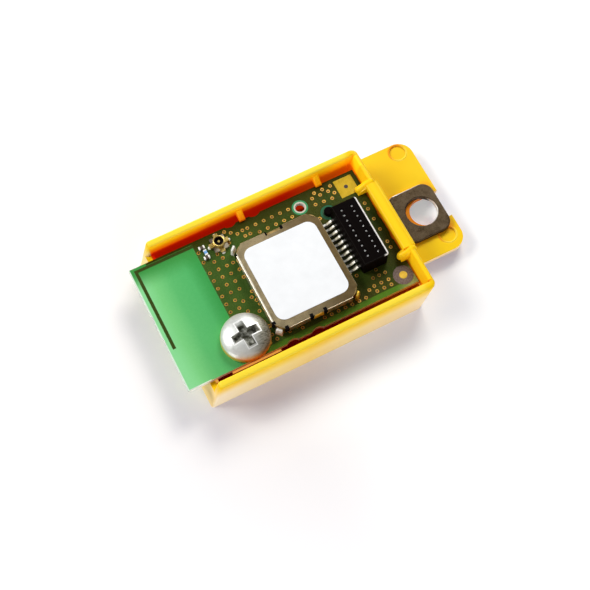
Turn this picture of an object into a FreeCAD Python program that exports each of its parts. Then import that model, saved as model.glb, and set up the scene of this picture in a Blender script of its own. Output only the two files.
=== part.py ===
"""Wireless module: a circuit board held in an open moulded tray with a fixing flange.

Millimetres. X runs from the bare board end to the flange, Y to the rear wall, Z up.
The origin is the bottom centre of the whole module.
"""
import FreeCAD, Part
import math
import os
import re
import Sketcher

# Driving sizes
SIZES = {
    # circuit board
    "board_length": "40.9",
    "board_width": "22.8",
    "board_thickness": "0.8",
    "board_level": "4.2",
    "board_top": "=board_level + board_thickness",
    "bite_depth": "0.4",
    "bite_width": "2.1",
    "bite_radius": "=(bite_width * bite_width / 4 + bite_depth * bite_depth) / (2 * bite_depth)",
    "bite_pitch": "4.4",
    "bite_long_middle": "20.4",
    "bite_short_middle": "11.2",
    # moulded tray
    "wall_height": "7.2",
    "wall_thickness": "1.3",
    "floor_thickness": "1.2",
    "front_gap": "1.35",
    "rear_gap": "1.25",
    "inner_width": "=board_width + front_gap + rear_gap",
    "tray_width": "=inner_width + 2 * wall_thickness",
    "board_front": "=(front_gap - rear_gap - board_width) / 2",
    "tray_start": "2.5",
    "tray_base": "=board_length - tray_start",
    "tray_stop": "=tray_start + tray_base",
    "end_rake": "14.5",
    "lean": "=tan(end_rake)",
    "end_wall": "1.0",
    "sill_width": "1.35",
    "nose_rounding": "0.7",
    "corner_rounding": "1.1",
    "rim_rounding": "0.5",
    "beam_start": "5.4",
    "beam_stop": "18.2",
    "beam_setback": "0.1",
    "beam_width": "2.3",
    "beam_inner": "=tray_stop - beam_setback",
    "beam_outer": "=beam_inner + beam_width",
    "beam_depth": "1.5",
    "beam_rounding": "0.55",
    # catches that hold the board down
    "catch_gap": "0.06",
    "catch_nose": "0.5",
    "catch_rounding": "0.35",
    "rear_catch_overlap": "0.3",
    "rear_catch_width": "1.1",
    "rear_catch_first": "20.4",
    "rear_catch_pitch": "14.1",
    "rear_catch_top": "6.4",
    "long_catch_y": "18.6",
    "long_catch_width": "1.4",
    "long_catch_lap": "1.4",
    "long_catch_reach": "=board_length - long_catch_lap",
    "short_catch_y": "4.9",
    "short_catch_width": "1.5",
    "short_catch_lap": "0.9",
    "short_catch_reach": "=board_length - short_catch_lap",
    # supports under the board
    "block_length": "8.5",
    "block_width": "8.2",
    "rib_length": "1.4",
    "rib_width": "3.0",
    "rib_inset": "0.9",
    # flange and its plate
    "flange_length": "11.7",
    "module_length": "=tray_stop + flange_length",
    "flange_top": "2.2",
    "flange_thickness": "0.9",
    "flange_front": "3.35",
    "flange_rear": "25.15",
    "flange_rounding": "2.6",
    "slot_width": "5.1",
    "slot_length": "6.3",
    "slot_start": "=module_length - slot_length",
    "mark_radius": "1.55",
    "mark_depth": "0.2",
    "mark_inset": "2.4",
    "rear_mark_x": "=module_length - mark_inset",
    "rear_mark_y": "23.45",
    "front_mark_x": "=rear_mark_x",
    "front_mark_y": "6.2",
    "plate_thickness": "0.8",
    "plate_length": "8.4",
    "plate_width": "9.25",
    "plate_rounding": "1.9",
    "plate_edge": "0.15",
    "plate_hole_radius": "2.65",
    "plate_inset": "4.45",
    "plate_x": "=module_length - plate_inset",
    "plate_y": "11.55",
    "plate_right": "3.65",
    # header and shield can, placed from the board's flange end
    "header_setback": "2.8",
    "header_length": "4.5",
    "header_x": "=board_length - header_setback - header_length",
    "header_y": "5.2",
    "header_width": "11.6",
    "lead_reach": "1.95",
    "lead_gap": "0.35",
    "shield_length": "15.0",
    "shield_x": "=header_x - lead_reach - lead_gap - shield_length",
    # holes beside the header
    "test_hole_radius": "0.8",
    "test_hole_space": "3.7",
    "test_hole_x": "=header_x - test_hole_space",
    "test_hole_inset": "2.35",
    "test_hole_y": "=board_width - test_hole_inset",
    "guide_hole_space": "0.1",
    "guide_hole_x": "=header_x + guide_hole_space",
    "guide_hole_gap": "0.7",
    "guide_hole_y": "=header_y + header_width + guide_hole_gap",
    # screw
    "screw_head_radius": "4.05",
    "screw_space": "0.5",
    "screw_x": "=shield_x - screw_space - screw_head_radius",
    "screw_y": "3.8",
    "screw_head_height": "2.4",
    "screw_head_side": "0.7",
    "shank_radius": "1.8",
    "shank_gap": "0.1",
    "shank_point": "0.9",
    "shank_length": "3.9",
    "recess_span": "4.4",
    "recess_width": "0.95",
    "recess_depth": "1.5",
    "recess_turn": "3",
    # shield can
    "shield_y": "1.65",
    "shield_width": "16.55",
    "shield_height": "2.0",
    "shield_sheet": "0.2",
    "shield_fit": "0.03",
    "shield_lift": "0.3",
    "shield_corner": "1.65",
    "frame_rounding": "1.5",
    "shield_rail": "1.0",
    "shield_bend": "0.15",
    "notch_start": "5.9",
    "notch_length": "3.05",
    "notch_depth": "0.7",
    "port_start": "=notch_start",
    "port_length": "2.9",
    "port_slit": "0.55",
    "port_depth": "0.45",
    # label
    "label_inset_x": "1.07",
    "label_inset_y": "1.38",
    "label_length": "=shield_length - 2 * label_inset_x",
    "label_width": "=shield_width - 2 * label_inset_y",
    "label_thickness": "0.08",
    "label_rounding": "1.6",
    # pin header
    "header_height": "3.4",
    "header_rounding": "0.45",
    "header_bevel": "0.2",
    "contact_pitch": "1.0",
    "contact_count": "10",
    "contact_first": "1.3",
    "contact_row": "1.3",
    "contact_row_gap": "1.85",
    "contact_size": "0.28",
    "cavity_size": "0.44",
    "cavity_depth": "1.0",
    "contact_drop": "0.25",
    "lead_width": "0.68",
    "lead_thickness": "0.2",
    "lead_foot": "0.75",
    "lead_rise": "0.8",
    # coaxial socket
    "coax_setback": "1.15",
    "coax_x": "=shield_x - coax_setback",
    "coax_inset": "2.25",
    "coax_y": "=board_width - coax_inset",
    "coax_base_size": "2.5",
    "coax_base_height": "0.35",
    "coax_ring_radius": "1.0",
    "coax_bore_radius": "0.72",
    "coax_height": "1.2",
    "coax_leg_width": "0.8",
    "coax_leg_reach": "0.45",
    "coax_leg_sheet": "0.15",
    "coax_pin_radius": "0.2",
    "coax_pin_height": "1.0",
    # chips beside the socket
    "chip_length": "1.0",
    "chip_width": "0.5",
    "chip_height": "0.45",
    "capacitor_back": "2.9",
    "capacitor_x": "=coax_x - capacitor_back",
    "capacitor_rise": "0.5",
    "capacitor_y": "=coax_y + capacitor_rise",
    "inductor_back": "2.65",
    "inductor_x": "=coax_x - inductor_back",
    "inductor_drop": "0.55",
    "inductor_y": "=coax_y - inductor_drop",
    "resistor_back": "2.85",
    "resistor_x": "=coax_x - resistor_back",
    "resistor_drop": "1.45",
    "resistor_y": "=coax_y - resistor_drop",
    "radio_size": "8.0",
    "radio_height": "0.9",
    "radio_inset": "2.7",
    "radio_x": "=shield_x + radio_inset",
    "radio_y": "=shield_y + shield_width - radio_size - radio_inset",
    "under_inset": "1.3",
    "memory_length": "5.0",
    "chip_space": "0.55",
    "memory_width": "=shield_width - radio_size - radio_inset - under_inset - chip_space",
    "memory_height": "0.8",
    "memory_x": "=shield_x + radio_inset",
    "memory_y": "=shield_y + under_inset",
    "crystal_length": "2.5",
    "crystal_width": "3.2",
    "crystal_height": "0.8",
    "crystal_x": "=shield_x + shield_length - crystal_length - under_inset",
    "crystal_y": "=shield_y + under_inset",
}

doc = FreeCAD.newDocument("WirelessModule")
sheet = doc.addObject("Spreadsheet::Sheet", "Sizes")
for row, (alias, text) in enumerate(SIZES.items(), 1):
    sheet.set("A%d" % row, alias)
    sheet.set("B%d" % row, text)
    sheet.setAlias("B%d" % row, alias)
doc.recompute()


def size(alias):
    """Value of one size in the sheet."""
    return float(sheet.get(alias))


def tied(text):
    """Expression text with every size name pointing at the sheet."""
    return re.sub(r"[a-z_]+", lambda word: "Sizes." + word.group(0) if word.group(0) in SIZES else word.group(0), text)


# Sketch and feature helpers
def new_body(name, x="0", y="0", z="0"):
    """Body whose origin sits at x from the board end, y from the board front and z from the base."""
    body = doc.addObject("PartDesign::Body", name)
    body.Label = name
    body.setExpression("Placement.Base.x", tied("(%s) - module_length / 2" % x))
    body.setExpression("Placement.Base.y", tied("(%s) + board_front" % y))
    body.setExpression("Placement.Base.z", tied(z))
    return body


def origin_item(body, role):
    """Origin plane or axis of a body found by its role."""
    return next(item for item in body.Origin.OriginFeatures if item.Role == role)


def new_sketch(body, name, role="XY_Plane", offset="0"):
    """Sketch on one of the body's own planes, moved along the plane's normal."""
    sketch = body.newObject("Sketcher::SketchObject", name)
    sketch.AttachmentSupport = [(origin_item(body, role), "")]
    sketch.MapMode = "FlatFace"
    sketch.setExpression("AttachmentOffset.Base.z", tied(offset))
    return sketch


def tie_point(sketch, index, point, x, y):
    """Tie a sketch point to two size expressions."""
    for kind, text in (("DistanceX", x), ("DistanceY", y)):
        number = sketch.addConstraint(Sketcher.Constraint(kind, index, point, 1.0))
        sketch.setExpression("Constraints[%d]" % number, tied(text))


def add_outline(sketch, corners):
    """Closed outline of straight lines through the given corners."""
    first = sketch.GeometryCount
    count = len(corners)
    start = []
    for number in range(count):
        angle = 2 * math.pi * number / count
        start.append(FreeCAD.Vector(math.cos(angle), math.sin(angle), 0))
    for number in range(count):
        sketch.addGeometry(Part.LineSegment(start[number], start[(number + 1) % count]), False)
    for number, (x, y) in enumerate(corners):
        following = first + (number + 1) % count
        sketch.addConstraint(Sketcher.Constraint("Coincident", first + number, 2, following, 1))
        tie_point(sketch, first + number, 1, x, y)


def add_rectangle(sketch, left, right, low, high):
    """Rectangle between four size expressions."""
    add_outline(sketch, [(left, low), (right, low), (right, high), (left, high)])


def add_circle(sketch, x, y, radius):
    """Circle at a tied centre with a tied radius."""
    index = sketch.addGeometry(Part.Circle(FreeCAD.Vector(1, 1, 0), FreeCAD.Vector(0, 0, 1), 1), False)
    tie_point(sketch, index, 3, x, y)
    number = sketch.addConstraint(Sketcher.Constraint("Radius", index, 1.0))
    sketch.setExpression("Constraints[%d]" % number, tied(radius))


def settle(feature):
    """Recompute and stop at once if the feature failed."""
    doc.recompute()
    if feature.Shape.isNull() or not feature.Shape.isValid():
        raise RuntimeError("feature failed: " + feature.Name)
    return feature


def pad(body, sketch, length, symmetric=False):
    """Pad a sketch along its normal or to both sides."""
    feature = body.newObject("PartDesign::Pad", sketch.Name + "Pad")
    feature.Profile = sketch
    feature.setExpression("Length", tied(length))
    if symmetric:
        feature.SideType = "Symmetric"
    return settle(feature)


def pocket(body, sketch, length, symmetric=False, taper=0):
    """Cut a sketch against its normal or to both sides."""
    feature = body.newObject("PartDesign::Pocket", sketch.Name + "Cut")
    feature.Profile = sketch
    feature.setExpression("Length", tied(length))
    if symmetric:
        feature.SideType = "Symmetric"
    feature.TaperAngle = taper
    return settle(feature)


def dress(body, kind, radius, chosen):
    """Fillet or chamfer the edges of the tip that pass the given test."""
    base = body.Tip
    names = []
    for number, edge in enumerate(base.Shape.Edges, 1):
        if chosen(edge):
            names.append("Edge%d" % number)
    feature = body.newObject("PartDesign::" + kind, body.Name + kind + str(len(body.Group)))
    feature.Base = (base, names)
    feature.setExpression("Radius" if kind == "Fillet" else "Size", tied(radius))
    return settle(feature)


def box_of(edge):
    """Bounding box of one edge."""
    return edge.BoundBox


def upright(edge):
    """True for an edge parallel to Z."""
    box = box_of(edge)
    return box.XLength < 0.01 and box.YLength < 0.01


def block(name, x, y, z, length, width, height):
    """Plain rectangular piece standing on a level."""
    body = new_body(name, x, y, z)
    sketch = new_sketch(body, name.title().replace("_", "") + "Plan")
    add_rectangle(sketch, "0", length, "0", width)
    pad(body, sketch, height)
    return body


# Moulded tray: walls, sill, flange and catches in one piece
def tray_shell(body):
    """Raked open box with a low sill at the bare board end."""
    profile = new_sketch(body, "TrayProfile", "XZ_Plane")
    add_outline(profile, [
        ("tray_start", "0"),
        ("tray_stop", "0"),
        ("tray_stop + lean * wall_height", "wall_height"),
        ("tray_start + lean * wall_height", "wall_height"),
    ])
    pad(body, profile, "tray_width", symmetric=True)
    side = size("tray_width") / 2
    top = size("wall_height")
    dress(body, "Fillet", "corner_rounding",
          lambda edge: box_of(edge).ZLength > top / 2 and box_of(edge).XMin > size("tray_stop") - 1)
    dress(body, "Fillet", "nose_rounding",
          lambda edge: box_of(edge).YLength > side and box_of(edge).ZMin > top - 0.1
          and box_of(edge).XMax < size("board_length") / 2)
    hollow = new_sketch(body, "TrayHollow", "XZ_Plane")
    add_outline(hollow, [
        ("tray_start + sill_width + lean * floor_thickness", "floor_thickness"),
        ("tray_stop - end_wall + lean * floor_thickness", "floor_thickness"),
        ("tray_stop - end_wall + lean * 2 * wall_height", "2 * wall_height"),
        ("tray_start - sill_width", "2 * wall_height"),
        ("tray_start - sill_width", "board_level"),
        ("tray_start + sill_width + lean * board_level", "board_level"),
    ])
    pocket(body, hollow, "inner_width", symmetric=True)
    dress(body, "Fillet", "rim_rounding",
          lambda edge: box_of(edge).ZMin > top - 0.01 and box_of(edge).XLength > size("board_length") / 2)


def end_catch(body, name, middle, width, reach):
    """Finger from the end wall over the board end."""
    sketch = new_sketch(body, name, "XZ_Plane", "-(board_front + %s)" % middle)
    low = "board_top + catch_gap"
    add_outline(sketch, [
        (reach, low),
        ("tray_stop - end_wall / 2 + lean * board_top", low),
        ("tray_stop - end_wall / 2 + lean * wall_height", "wall_height - rim_rounding / 2"),
        ("tray_stop - end_wall - rim_rounding / 2 + lean * wall_height", "wall_height - rim_rounding / 2"),
        (reach + " + catch_nose", low + " + 2 * catch_nose"),
        (reach, low + " + catch_nose"),
    ])
    pad(body, sketch, width, symmetric=True)


def tray_catches(body):
    """End catches, the bead between them and the two rear catches."""
    end_catch(body, "LongCatch", "long_catch_y", "long_catch_width", "long_catch_reach")
    end_catch(body, "ShortCatch", "short_catch_y", "short_catch_width", "short_catch_reach")
    bead = new_sketch(body, "EndBead", "XZ_Plane", "-(board_front + (beam_start + beam_stop) / 2)")
    add_outline(bead, [
        ("beam_inner + end_wall / 2", "wall_height - beam_depth"),
        ("beam_inner", "wall_height - beam_depth / 2"),
        ("beam_inner", "wall_height"),
        ("beam_outer", "wall_height"),
        ("beam_outer", "wall_height - beam_depth / 2"),
        ("beam_outer - end_wall / 2", "wall_height - beam_depth"),
    ])
    pad(body, bead, "beam_stop - beam_start", symmetric=True)
    top = size("wall_height")
    dress(body, "Fillet", "beam_rounding",
          lambda edge: box_of(edge).ZMin > top - 0.01 and box_of(edge).XLength < 0.01
          and box_of(edge).YLength > size("beam_stop") / 2
          and min(abs(box_of(edge).XMin - size("beam_inner")), abs(box_of(edge).XMin - size("beam_outer"))) < 0.01)
    for number in range(2):
        middle = "rear_catch_first + %d * rear_catch_pitch" % number
        hook = new_sketch(body, "RearCatch%d" % (number + 1), "YZ_Plane", middle)
        low = "board_top + catch_gap"
        nose = "board_front + board_width - rear_catch_overlap"
        add_outline(hook, [
            (nose, low),
            ("inner_width / 2 + wall_thickness / 2", low),
            ("inner_width / 2 + wall_thickness / 2", "rear_catch_top"),
            ("inner_width / 2 - wall_thickness / 4", "rear_catch_top"),
            (nose, low + " + catch_nose"),
        ])
        pad(body, hook, "rear_catch_width", symmetric=True)
    low = size("board_top")
    dress(body, "Fillet", "catch_rounding",
          lambda edge: box_of(edge).ZMin > low + 0.2 and 0.2 < box_of(edge).ZLength < size("wall_height") - low
          and box_of(edge).YLength + box_of(edge).XLength > 1.0
          and min(box_of(edge).YLength, box_of(edge).XLength) < 0.01
          and box_of(edge).XMax < size("beam_outer") and box_of(edge).ZMax < top - 0.2)


def tray_supports(body):
    """Screw block and two ribs that carry the board from below."""
    plan = new_sketch(body, "BoardSupports", "XY_Plane", "floor_thickness / 2")
    add_rectangle(plan, "screw_x - block_length / 2", "screw_x + block_length / 2",
                  "board_front + screw_y - block_width / 2", "board_front + screw_y + block_width / 2")
    for inset in ("rib_inset", "board_width - rib_inset - rib_width"):
        add_rectangle(plan, "board_length - rib_inset - rib_length", "board_length - rib_inset",
                      "board_front + " + inset, "board_front + rib_width + " + inset)
    pad(body, plan, "board_level - floor_thickness / 2")
    pilot = new_sketch(body, "PilotHole", "XY_Plane", "board_level")
    add_circle(pilot, "screw_x", "board_front + screw_y", "shank_radius + shank_gap")
    pocket(body, pilot, "shank_length")


def tray_flange(body):
    """Flange with an open slot and two shallow round marks."""
    plan = new_sketch(body, "FlangePlan", "XY_Plane", "flange_top - flange_thickness")
    add_rectangle(plan, "tray_stop - end_wall / 2", "module_length", "board_front + flange_front",
                  "board_front + flange_rear")
    pad(body, plan, "flange_thickness")
    dress(body, "Fillet", "flange_rounding",
          lambda edge: upright(edge) and box_of(edge).XMin > size("module_length") - 0.01)
    middle = "board_front + plate_y"
    centre = "slot_start + slot_width / 2"
    slot_end = new_sketch(body, "SlotEnd", "XY_Plane", "flange_top")
    add_circle(slot_end, centre, middle, "slot_width / 2")
    pocket(body, slot_end, "flange_thickness")
    slot_run = new_sketch(body, "SlotRun", "XY_Plane", "flange_top")
    add_rectangle(slot_run, centre, "module_length + slot_width", middle + " - slot_width / 2",
                  middle + " + slot_width / 2")
    pocket(body, slot_run, "flange_thickness")
    marks = new_sketch(body, "RoundMarks", "XY_Plane", "flange_top")
    for end in ("rear", "front"):
        add_circle(marks, end + "_mark_x", "board_front + " + end + "_mark_y", "mark_radius")
    pocket(body, marks, "mark_depth")


def make_tray():
    """One moulding: the tray sits on its own centre line across the module."""
    body = new_body("carrier_tray", y="-board_front")
    tray_shell(body)
    tray_flange(body)
    tray_supports(body)
    tray_catches(body)
    return body


# Circuit board with break-off marks along its edges
def make_board():
    """Flat board with two tooling holes and the screw hole."""
    body = new_body("circuit_board", z="board_level")
    plan = new_sketch(body, "BoardPlan")
    add_rectangle(plan, "0", "board_length", "0", "board_width")
    pad(body, plan, "board_thickness")
    holes = new_sketch(body, "BoardHoles", "XY_Plane", "board_thickness")
    add_circle(holes, "test_hole_x", "test_hole_y", "test_hole_radius")
    add_circle(holes, "guide_hole_x", "guide_hole_y", "test_hole_radius")
    add_circle(holes, "screw_x", "screw_y", "shank_radius + shank_gap")
    pocket(body, holes, "board_thickness")
    bites = new_sketch(body, "BreakOffMarks", "XY_Plane", "board_thickness")
    for side in (-1, 1):
        along = "bite_long_middle + %d * bite_pitch / 2" % side
        across = "bite_short_middle + %d * bite_pitch / 2" % side
        add_circle(bites, along, "bite_depth - bite_radius", "bite_radius")
        add_circle(bites, along, "board_width + bite_radius - bite_depth", "bite_radius")
        add_circle(bites, "bite_depth / 2 - bite_radius", across, "bite_radius")
        add_circle(bites, "board_length + bite_radius - bite_depth / 2", across, "bite_radius")
    pocket(body, bites, "board_thickness")
    return body


# Shield can: soldered frame and folded lid
def make_shield_frame():
    """Upright frame with rounded corners and a narrow inward rail at its top."""
    edge = "shield_sheet + shield_fit"
    body = new_body("shield_frame", "shield_x + " + edge, "shield_y + " + edge, "board_top")
    length = "shield_length - 2 * (%s)" % edge
    width = "shield_width - 2 * (%s)" % edge
    plan = new_sketch(body, "FramePlan")
    add_rectangle(plan, "0", length, "0", width)
    pad(body, plan, "shield_height - shield_sheet")
    dress(body, "Fillet", "frame_rounding", upright)
    inside = new_sketch(body, "FrameInside", "XY_Plane", "shield_height - 2 * shield_sheet")
    near = "shield_sheet"
    turn = "shield_sheet + frame_rounding * 2 / 3"
    add_outline(inside, [
        (turn, near),
        (length + " - (%s)" % turn, near),
        (length + " - " + near, turn),
        (length + " - " + near, width + " - (%s)" % turn),
        (length + " - (%s)" % turn, width + " - " + near),
        (turn, width + " - " + near),
        (near, width + " - (%s)" % turn),
        (near, turn),
    ])
    pocket(body, inside, "shield_height")
    window = new_sketch(body, "FrameWindow", "XY_Plane", "shield_height")
    add_rectangle(window, "shield_rail", length + " - shield_rail", "shield_rail", width + " - shield_rail")
    pocket(body, window, "shield_height")
    return body


def make_shield_lid():
    """Folded sheet with open corners, a rear notch and a front tab between two slits."""
    body = new_body("shield_lid", "shield_x", "shield_y", "board_top")
    top = new_sketch(body, "LidTop", "XY_Plane", "shield_height - shield_sheet")
    port_stop = "port_start + port_length"
    add_outline(top, [
        ("shield_corner", "0"),
        ("port_start", "0"),
        ("port_start", "port_depth"),
        ("port_start + port_slit", "port_depth"),
        ("port_start + port_slit", "0"),
        (port_stop + " - port_slit", "0"),
        (port_stop + " - port_slit", "port_depth"),
        (port_stop, "port_depth"),
        (port_stop, "0"),
        ("shield_length - shield_corner", "0"),
        ("shield_length", "shield_corner"),
        ("shield_length", "shield_width - shield_corner"),
        ("shield_length - shield_corner", "shield_width"),
        ("notch_start + notch_length", "shield_width"),
        ("notch_start + notch_length", "shield_width - notch_depth"),
        ("notch_start", "shield_width - notch_depth"),
        ("notch_start", "shield_width"),
        ("shield_corner", "shield_width"),
        ("0", "shield_width - shield_corner"),
        ("0", "shield_corner"),
    ])
    pad(body, top, "shield_sheet")
    flaps = new_sketch(body, "LidFlaps", "XY_Plane", "shield_lift")
    far_x = "shield_length - shield_corner"
    far_y = "shield_width - shield_corner"
    add_rectangle(flaps, "0", "shield_sheet", "shield_corner", far_y)
    add_rectangle(flaps, "shield_length - shield_sheet", "shield_length", "shield_corner", far_y)
    add_rectangle(flaps, "shield_corner", "port_start", "0", "shield_sheet")
    add_rectangle(flaps, "port_start + port_slit", port_stop + " - port_slit", "0", "shield_sheet")
    add_rectangle(flaps, port_stop, far_x, "0", "shield_sheet")
    add_rectangle(flaps, "shield_corner", "notch_start", "shield_width - shield_sheet", "shield_width")
    add_rectangle(flaps, "notch_start + notch_length", far_x, "shield_width - shield_sheet", "shield_width")
    pad(body, flaps, "shield_height - shield_lift - shield_sheet / 2")
    height = size("shield_height")
    dress(body, "Fillet", "shield_bend",
          lambda edge: box_of(edge).ZMin > height - 0.01
          and (box_of(edge).XLength < 0.01 and box_of(edge).YLength > height
               and (box_of(edge).XMin < 0.01 or box_of(edge).XMax > size("shield_length") - 0.01)
               or box_of(edge).YLength < 0.01 and box_of(edge).XLength > height
               and (box_of(edge).YMin < 0.01 or box_of(edge).YMax > size("shield_width") - 0.01)))
    return body


def make_label():
    """Bare label stuck on the lid."""
    body = new_body("blank_label", "shield_x + label_inset_x", "shield_y + label_inset_y",
                    "board_top + shield_height")
    plan = new_sketch(body, "LabelPlan")
    add_rectangle(plan, "0", "label_length", "0", "label_width")
    pad(body, plan, "label_thickness")
    dress(body, "Fillet", "label_rounding", upright)
    return body


# Pin header
def make_header_housing():
    """Moulded block with two rows of contact cavities."""
    body = new_body("header_housing", "header_x", "header_y", "board_top")
    plan = new_sketch(body, "HousingPlan")
    add_rectangle(plan, "0", "header_length", "0", "header_width")
    pad(body, plan, "header_height")
    dress(body, "Fillet", "header_rounding",
          lambda edge: upright(edge) and box_of(edge).XMin > size("header_length") - 0.01)
    top = size("header_height")
    dress(body, "Chamfer", "header_bevel", lambda edge: box_of(edge).ZMin > top - 0.01)
    cell = new_sketch(body, "CavityPair", "XY_Plane", "header_height")
    for row in ("contact_row", "contact_row + contact_row_gap"):
        add_rectangle(cell, row + " - cavity_size / 2", row + " + cavity_size / 2",
                      "contact_first - cavity_size / 2", "contact_first + cavity_size / 2")
    cut = pocket(body, cell, "cavity_depth")
    repeat_along(body, cut, "CavityRows")
    return body


def repeat_along(body, feature, name):
    """Repeat a feature along Y at the contact pitch."""
    rows = body.newObject("PartDesign::LinearPattern", name)
    rows.Originals = [feature]
    rows.Direction = (origin_item(body, "Y_Axis"), [""])
    rows.setExpression("Occurrences", tied("contact_count"))
    rows.setExpression("Length", tied("contact_pitch * (contact_count - 1)"))
    body.Tip = rows
    return settle(rows)


def make_header_contacts():
    """Two rows of contact pins in the cavities."""
    body = new_body("header_contacts", "header_x", "header_y", "board_top")
    plan = new_sketch(body, "ContactPair", "XY_Plane", "header_height - cavity_depth")
    for row in ("contact_row", "contact_row + contact_row_gap"):
        add_rectangle(plan, row + " - contact_size / 2", row + " + contact_size / 2",
                      "contact_first - contact_size / 2", "contact_first + contact_size / 2")
    pair = pad(body, plan, "cavity_depth - contact_drop")
    repeat_along(body, pair, "ContactRows")
    return body


def make_header_leads():
    """Row of bent leads from the housing side down to the board."""
    body = new_body("header_leads", "header_x", "header_y", "board_top")
    shape = new_sketch(body, "LeadProfile", "XZ_Plane", "-contact_first")
    add_outline(shape, [
        ("-lead_reach", "0"),
        ("-lead_reach + lead_foot", "0"),
        ("-lead_foot / 2", "lead_rise - lead_thickness"),
        ("0", "lead_rise - lead_thickness"),
        ("0", "lead_rise"),
        ("-lead_foot / 2 - lead_thickness / 2", "lead_rise"),
        ("-lead_reach + lead_foot - lead_thickness / 2", "lead_thickness"),
        ("-lead_reach", "lead_thickness"),
    ])
    lead = pad(body, shape, "lead_width", symmetric=True)
    repeat_along(body, lead, "LeadRow")
    return body


# Coaxial socket
def make_coax_base():
    """Square insulating foot."""
    body = new_body("coax_base", "coax_x", "coax_y", "board_top")
    plan = new_sketch(body, "CoaxFoot")
    half = "coax_base_size / 2"
    add_rectangle(plan, "-" + half, half, "-" + half, half)
    pad(body, plan, "coax_base_height")
    return body


def make_coax_shell():
    """Round outer contact whose four legs reach over the foot to the board."""
    body = new_body("coax_shell", "coax_x", "coax_y", "board_top + coax_base_height")
    half = "coax_base_size / 2"
    end = half + " + coax_leg_reach"
    for name, role in (("LegsAlong", "XZ_Plane"), ("LegsAcross", "YZ_Plane")):
        legs = new_sketch(body, name, role)
        add_outline(legs, [
            ("-(%s)" % end, "-coax_base_height"),
            ("-" + half, "-coax_base_height"),
            ("-" + half, "0"),
            (half, "0"),
            (half, "-coax_base_height"),
            (end, "-coax_base_height"),
            (end, "coax_leg_sheet"),
            ("-(%s)" % end, "coax_leg_sheet"),
        ])
        pad(body, legs, "coax_leg_width", symmetric=True)
    ring = new_sketch(body, "CoaxRing")
    add_circle(ring, "0", "0", "coax_ring_radius")
    pad(body, ring, "coax_height - coax_base_height")
    bore = new_sketch(body, "CoaxBore", "XY_Plane", "coax_height - coax_base_height")
    add_circle(bore, "0", "0", "coax_bore_radius")
    pocket(body, bore, "coax_height - coax_base_height")
    return body


def make_coax_pin():
    """Centre contact."""
    body = new_body("coax_pin", "coax_x", "coax_y", "board_top + coax_base_height")
    plan = new_sketch(body, "CoaxCentre")
    add_circle(plan, "0", "0", "coax_pin_radius")
    pad(body, plan, "coax_pin_height - coax_base_height")
    return body


# Screw and plate
def make_screw():
    """Domed pan head on a plain shank with a tapered cross recess."""
    body = new_body("mounting_screw", "screw_x", "screw_y", "board_top")
    profile = new_sketch(body, "ScrewProfile", "XZ_Plane")
    shank_end = "-(shank_length + board_thickness - shank_gap)"
    add_outline(profile, [
        ("0", shank_end),
        ("shank_radius / 2", shank_end),
        ("shank_radius", shank_end + " + shank_point"),
        ("shank_radius", "0"),
        ("screw_head_radius", "0"),
        ("screw_head_radius", "screw_head_side"),
        ("screw_head_radius * 0.93", "screw_head_side + (screw_head_height - screw_head_side) * 0.42"),
        ("screw_head_radius * 0.75", "screw_head_side + (screw_head_height - screw_head_side) * 0.76"),
        ("screw_head_radius * 0.48", "screw_head_side + (screw_head_height - screw_head_side) * 0.95"),
        ("screw_head_radius * 0.25", "screw_head_height"),
        ("0", "screw_head_height"),
    ])
    turned = body.newObject("PartDesign::Revolution", "ScrewTurned")
    turned.Profile = profile
    turned.ReferenceAxis = (profile, ["V_Axis"])
    turned.Angle = 360
    doc.recompute()
    for number, turn in enumerate(("recess_turn", "recess_turn + 90")):
        wing = new_sketch(body, "RecessWing%d" % (number + 1), "XY_Plane", "screw_head_height")
        wing.setExpression("AttachmentOffset.Rotation.Angle", tied(turn))
        add_rectangle(wing, "-recess_span / 2", "recess_span / 2", "-recess_width / 2", "recess_width / 2")
        pocket(body, wing, "recess_depth", taper=-10)
    return body


def make_plate():
    """Rolled-edge fixing plate with one round hole."""
    body = new_body("fixing_plate", "plate_x", "plate_y", "flange_top")
    plan = new_sketch(body, "PlatePlan")
    add_rectangle(plan, "plate_right - plate_length", "plate_right", "-plate_width / 2", "plate_width / 2")
    pad(body, plan, "plate_thickness")
    dress(body, "Fillet", "plate_rounding", upright)
    hole = new_sketch(body, "PlateHole", "XY_Plane", "plate_thickness")
    add_circle(hole, "0", "0", "plate_hole_radius")
    pocket(body, hole, "plate_thickness")
    top = size("plate_thickness")
    dress(body, "Fillet", "plate_edge",
          lambda edge: box_of(edge).ZMin > top - 0.01 and box_of(edge).XLength + box_of(edge).YLength > 0.01)
    return body


# All pieces
def make_chips():
    """Three small chips beside the socket and three packages under the shield."""
    small = ("chip_length", "chip_width", "chip_height")
    pieces = []
    for part in ("capacitor", "inductor", "resistor"):
        length, width, height = small
        if part == "inductor":
            length, width = width, length
        pieces.append(block("chip_" + part, "%s_x - %s / 2" % (part, length), "%s_y - %s / 2" % (part, width),
                            "board_top", length, width, height))
    pieces.append(block("radio_chip", "radio_x", "radio_y", "board_top", "radio_size", "radio_size", "radio_height"))
    for part in ("memory", "crystal"):
        pieces.append(block(part + "_chip", part + "_x", part + "_y", "board_top",
                            part + "_length", part + "_width", part + "_height"))
    return pieces


pieces = [
    make_tray(),
    make_board(),
    make_shield_frame(),
    make_shield_lid(),
    make_label(),
    make_header_housing(),
    make_header_contacts(),
    make_header_leads(),
    make_coax_base(),
    make_coax_shell(),
    make_coax_pin(),
    make_screw(),
    make_plate(),
] + make_chips()
doc.recompute()

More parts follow.
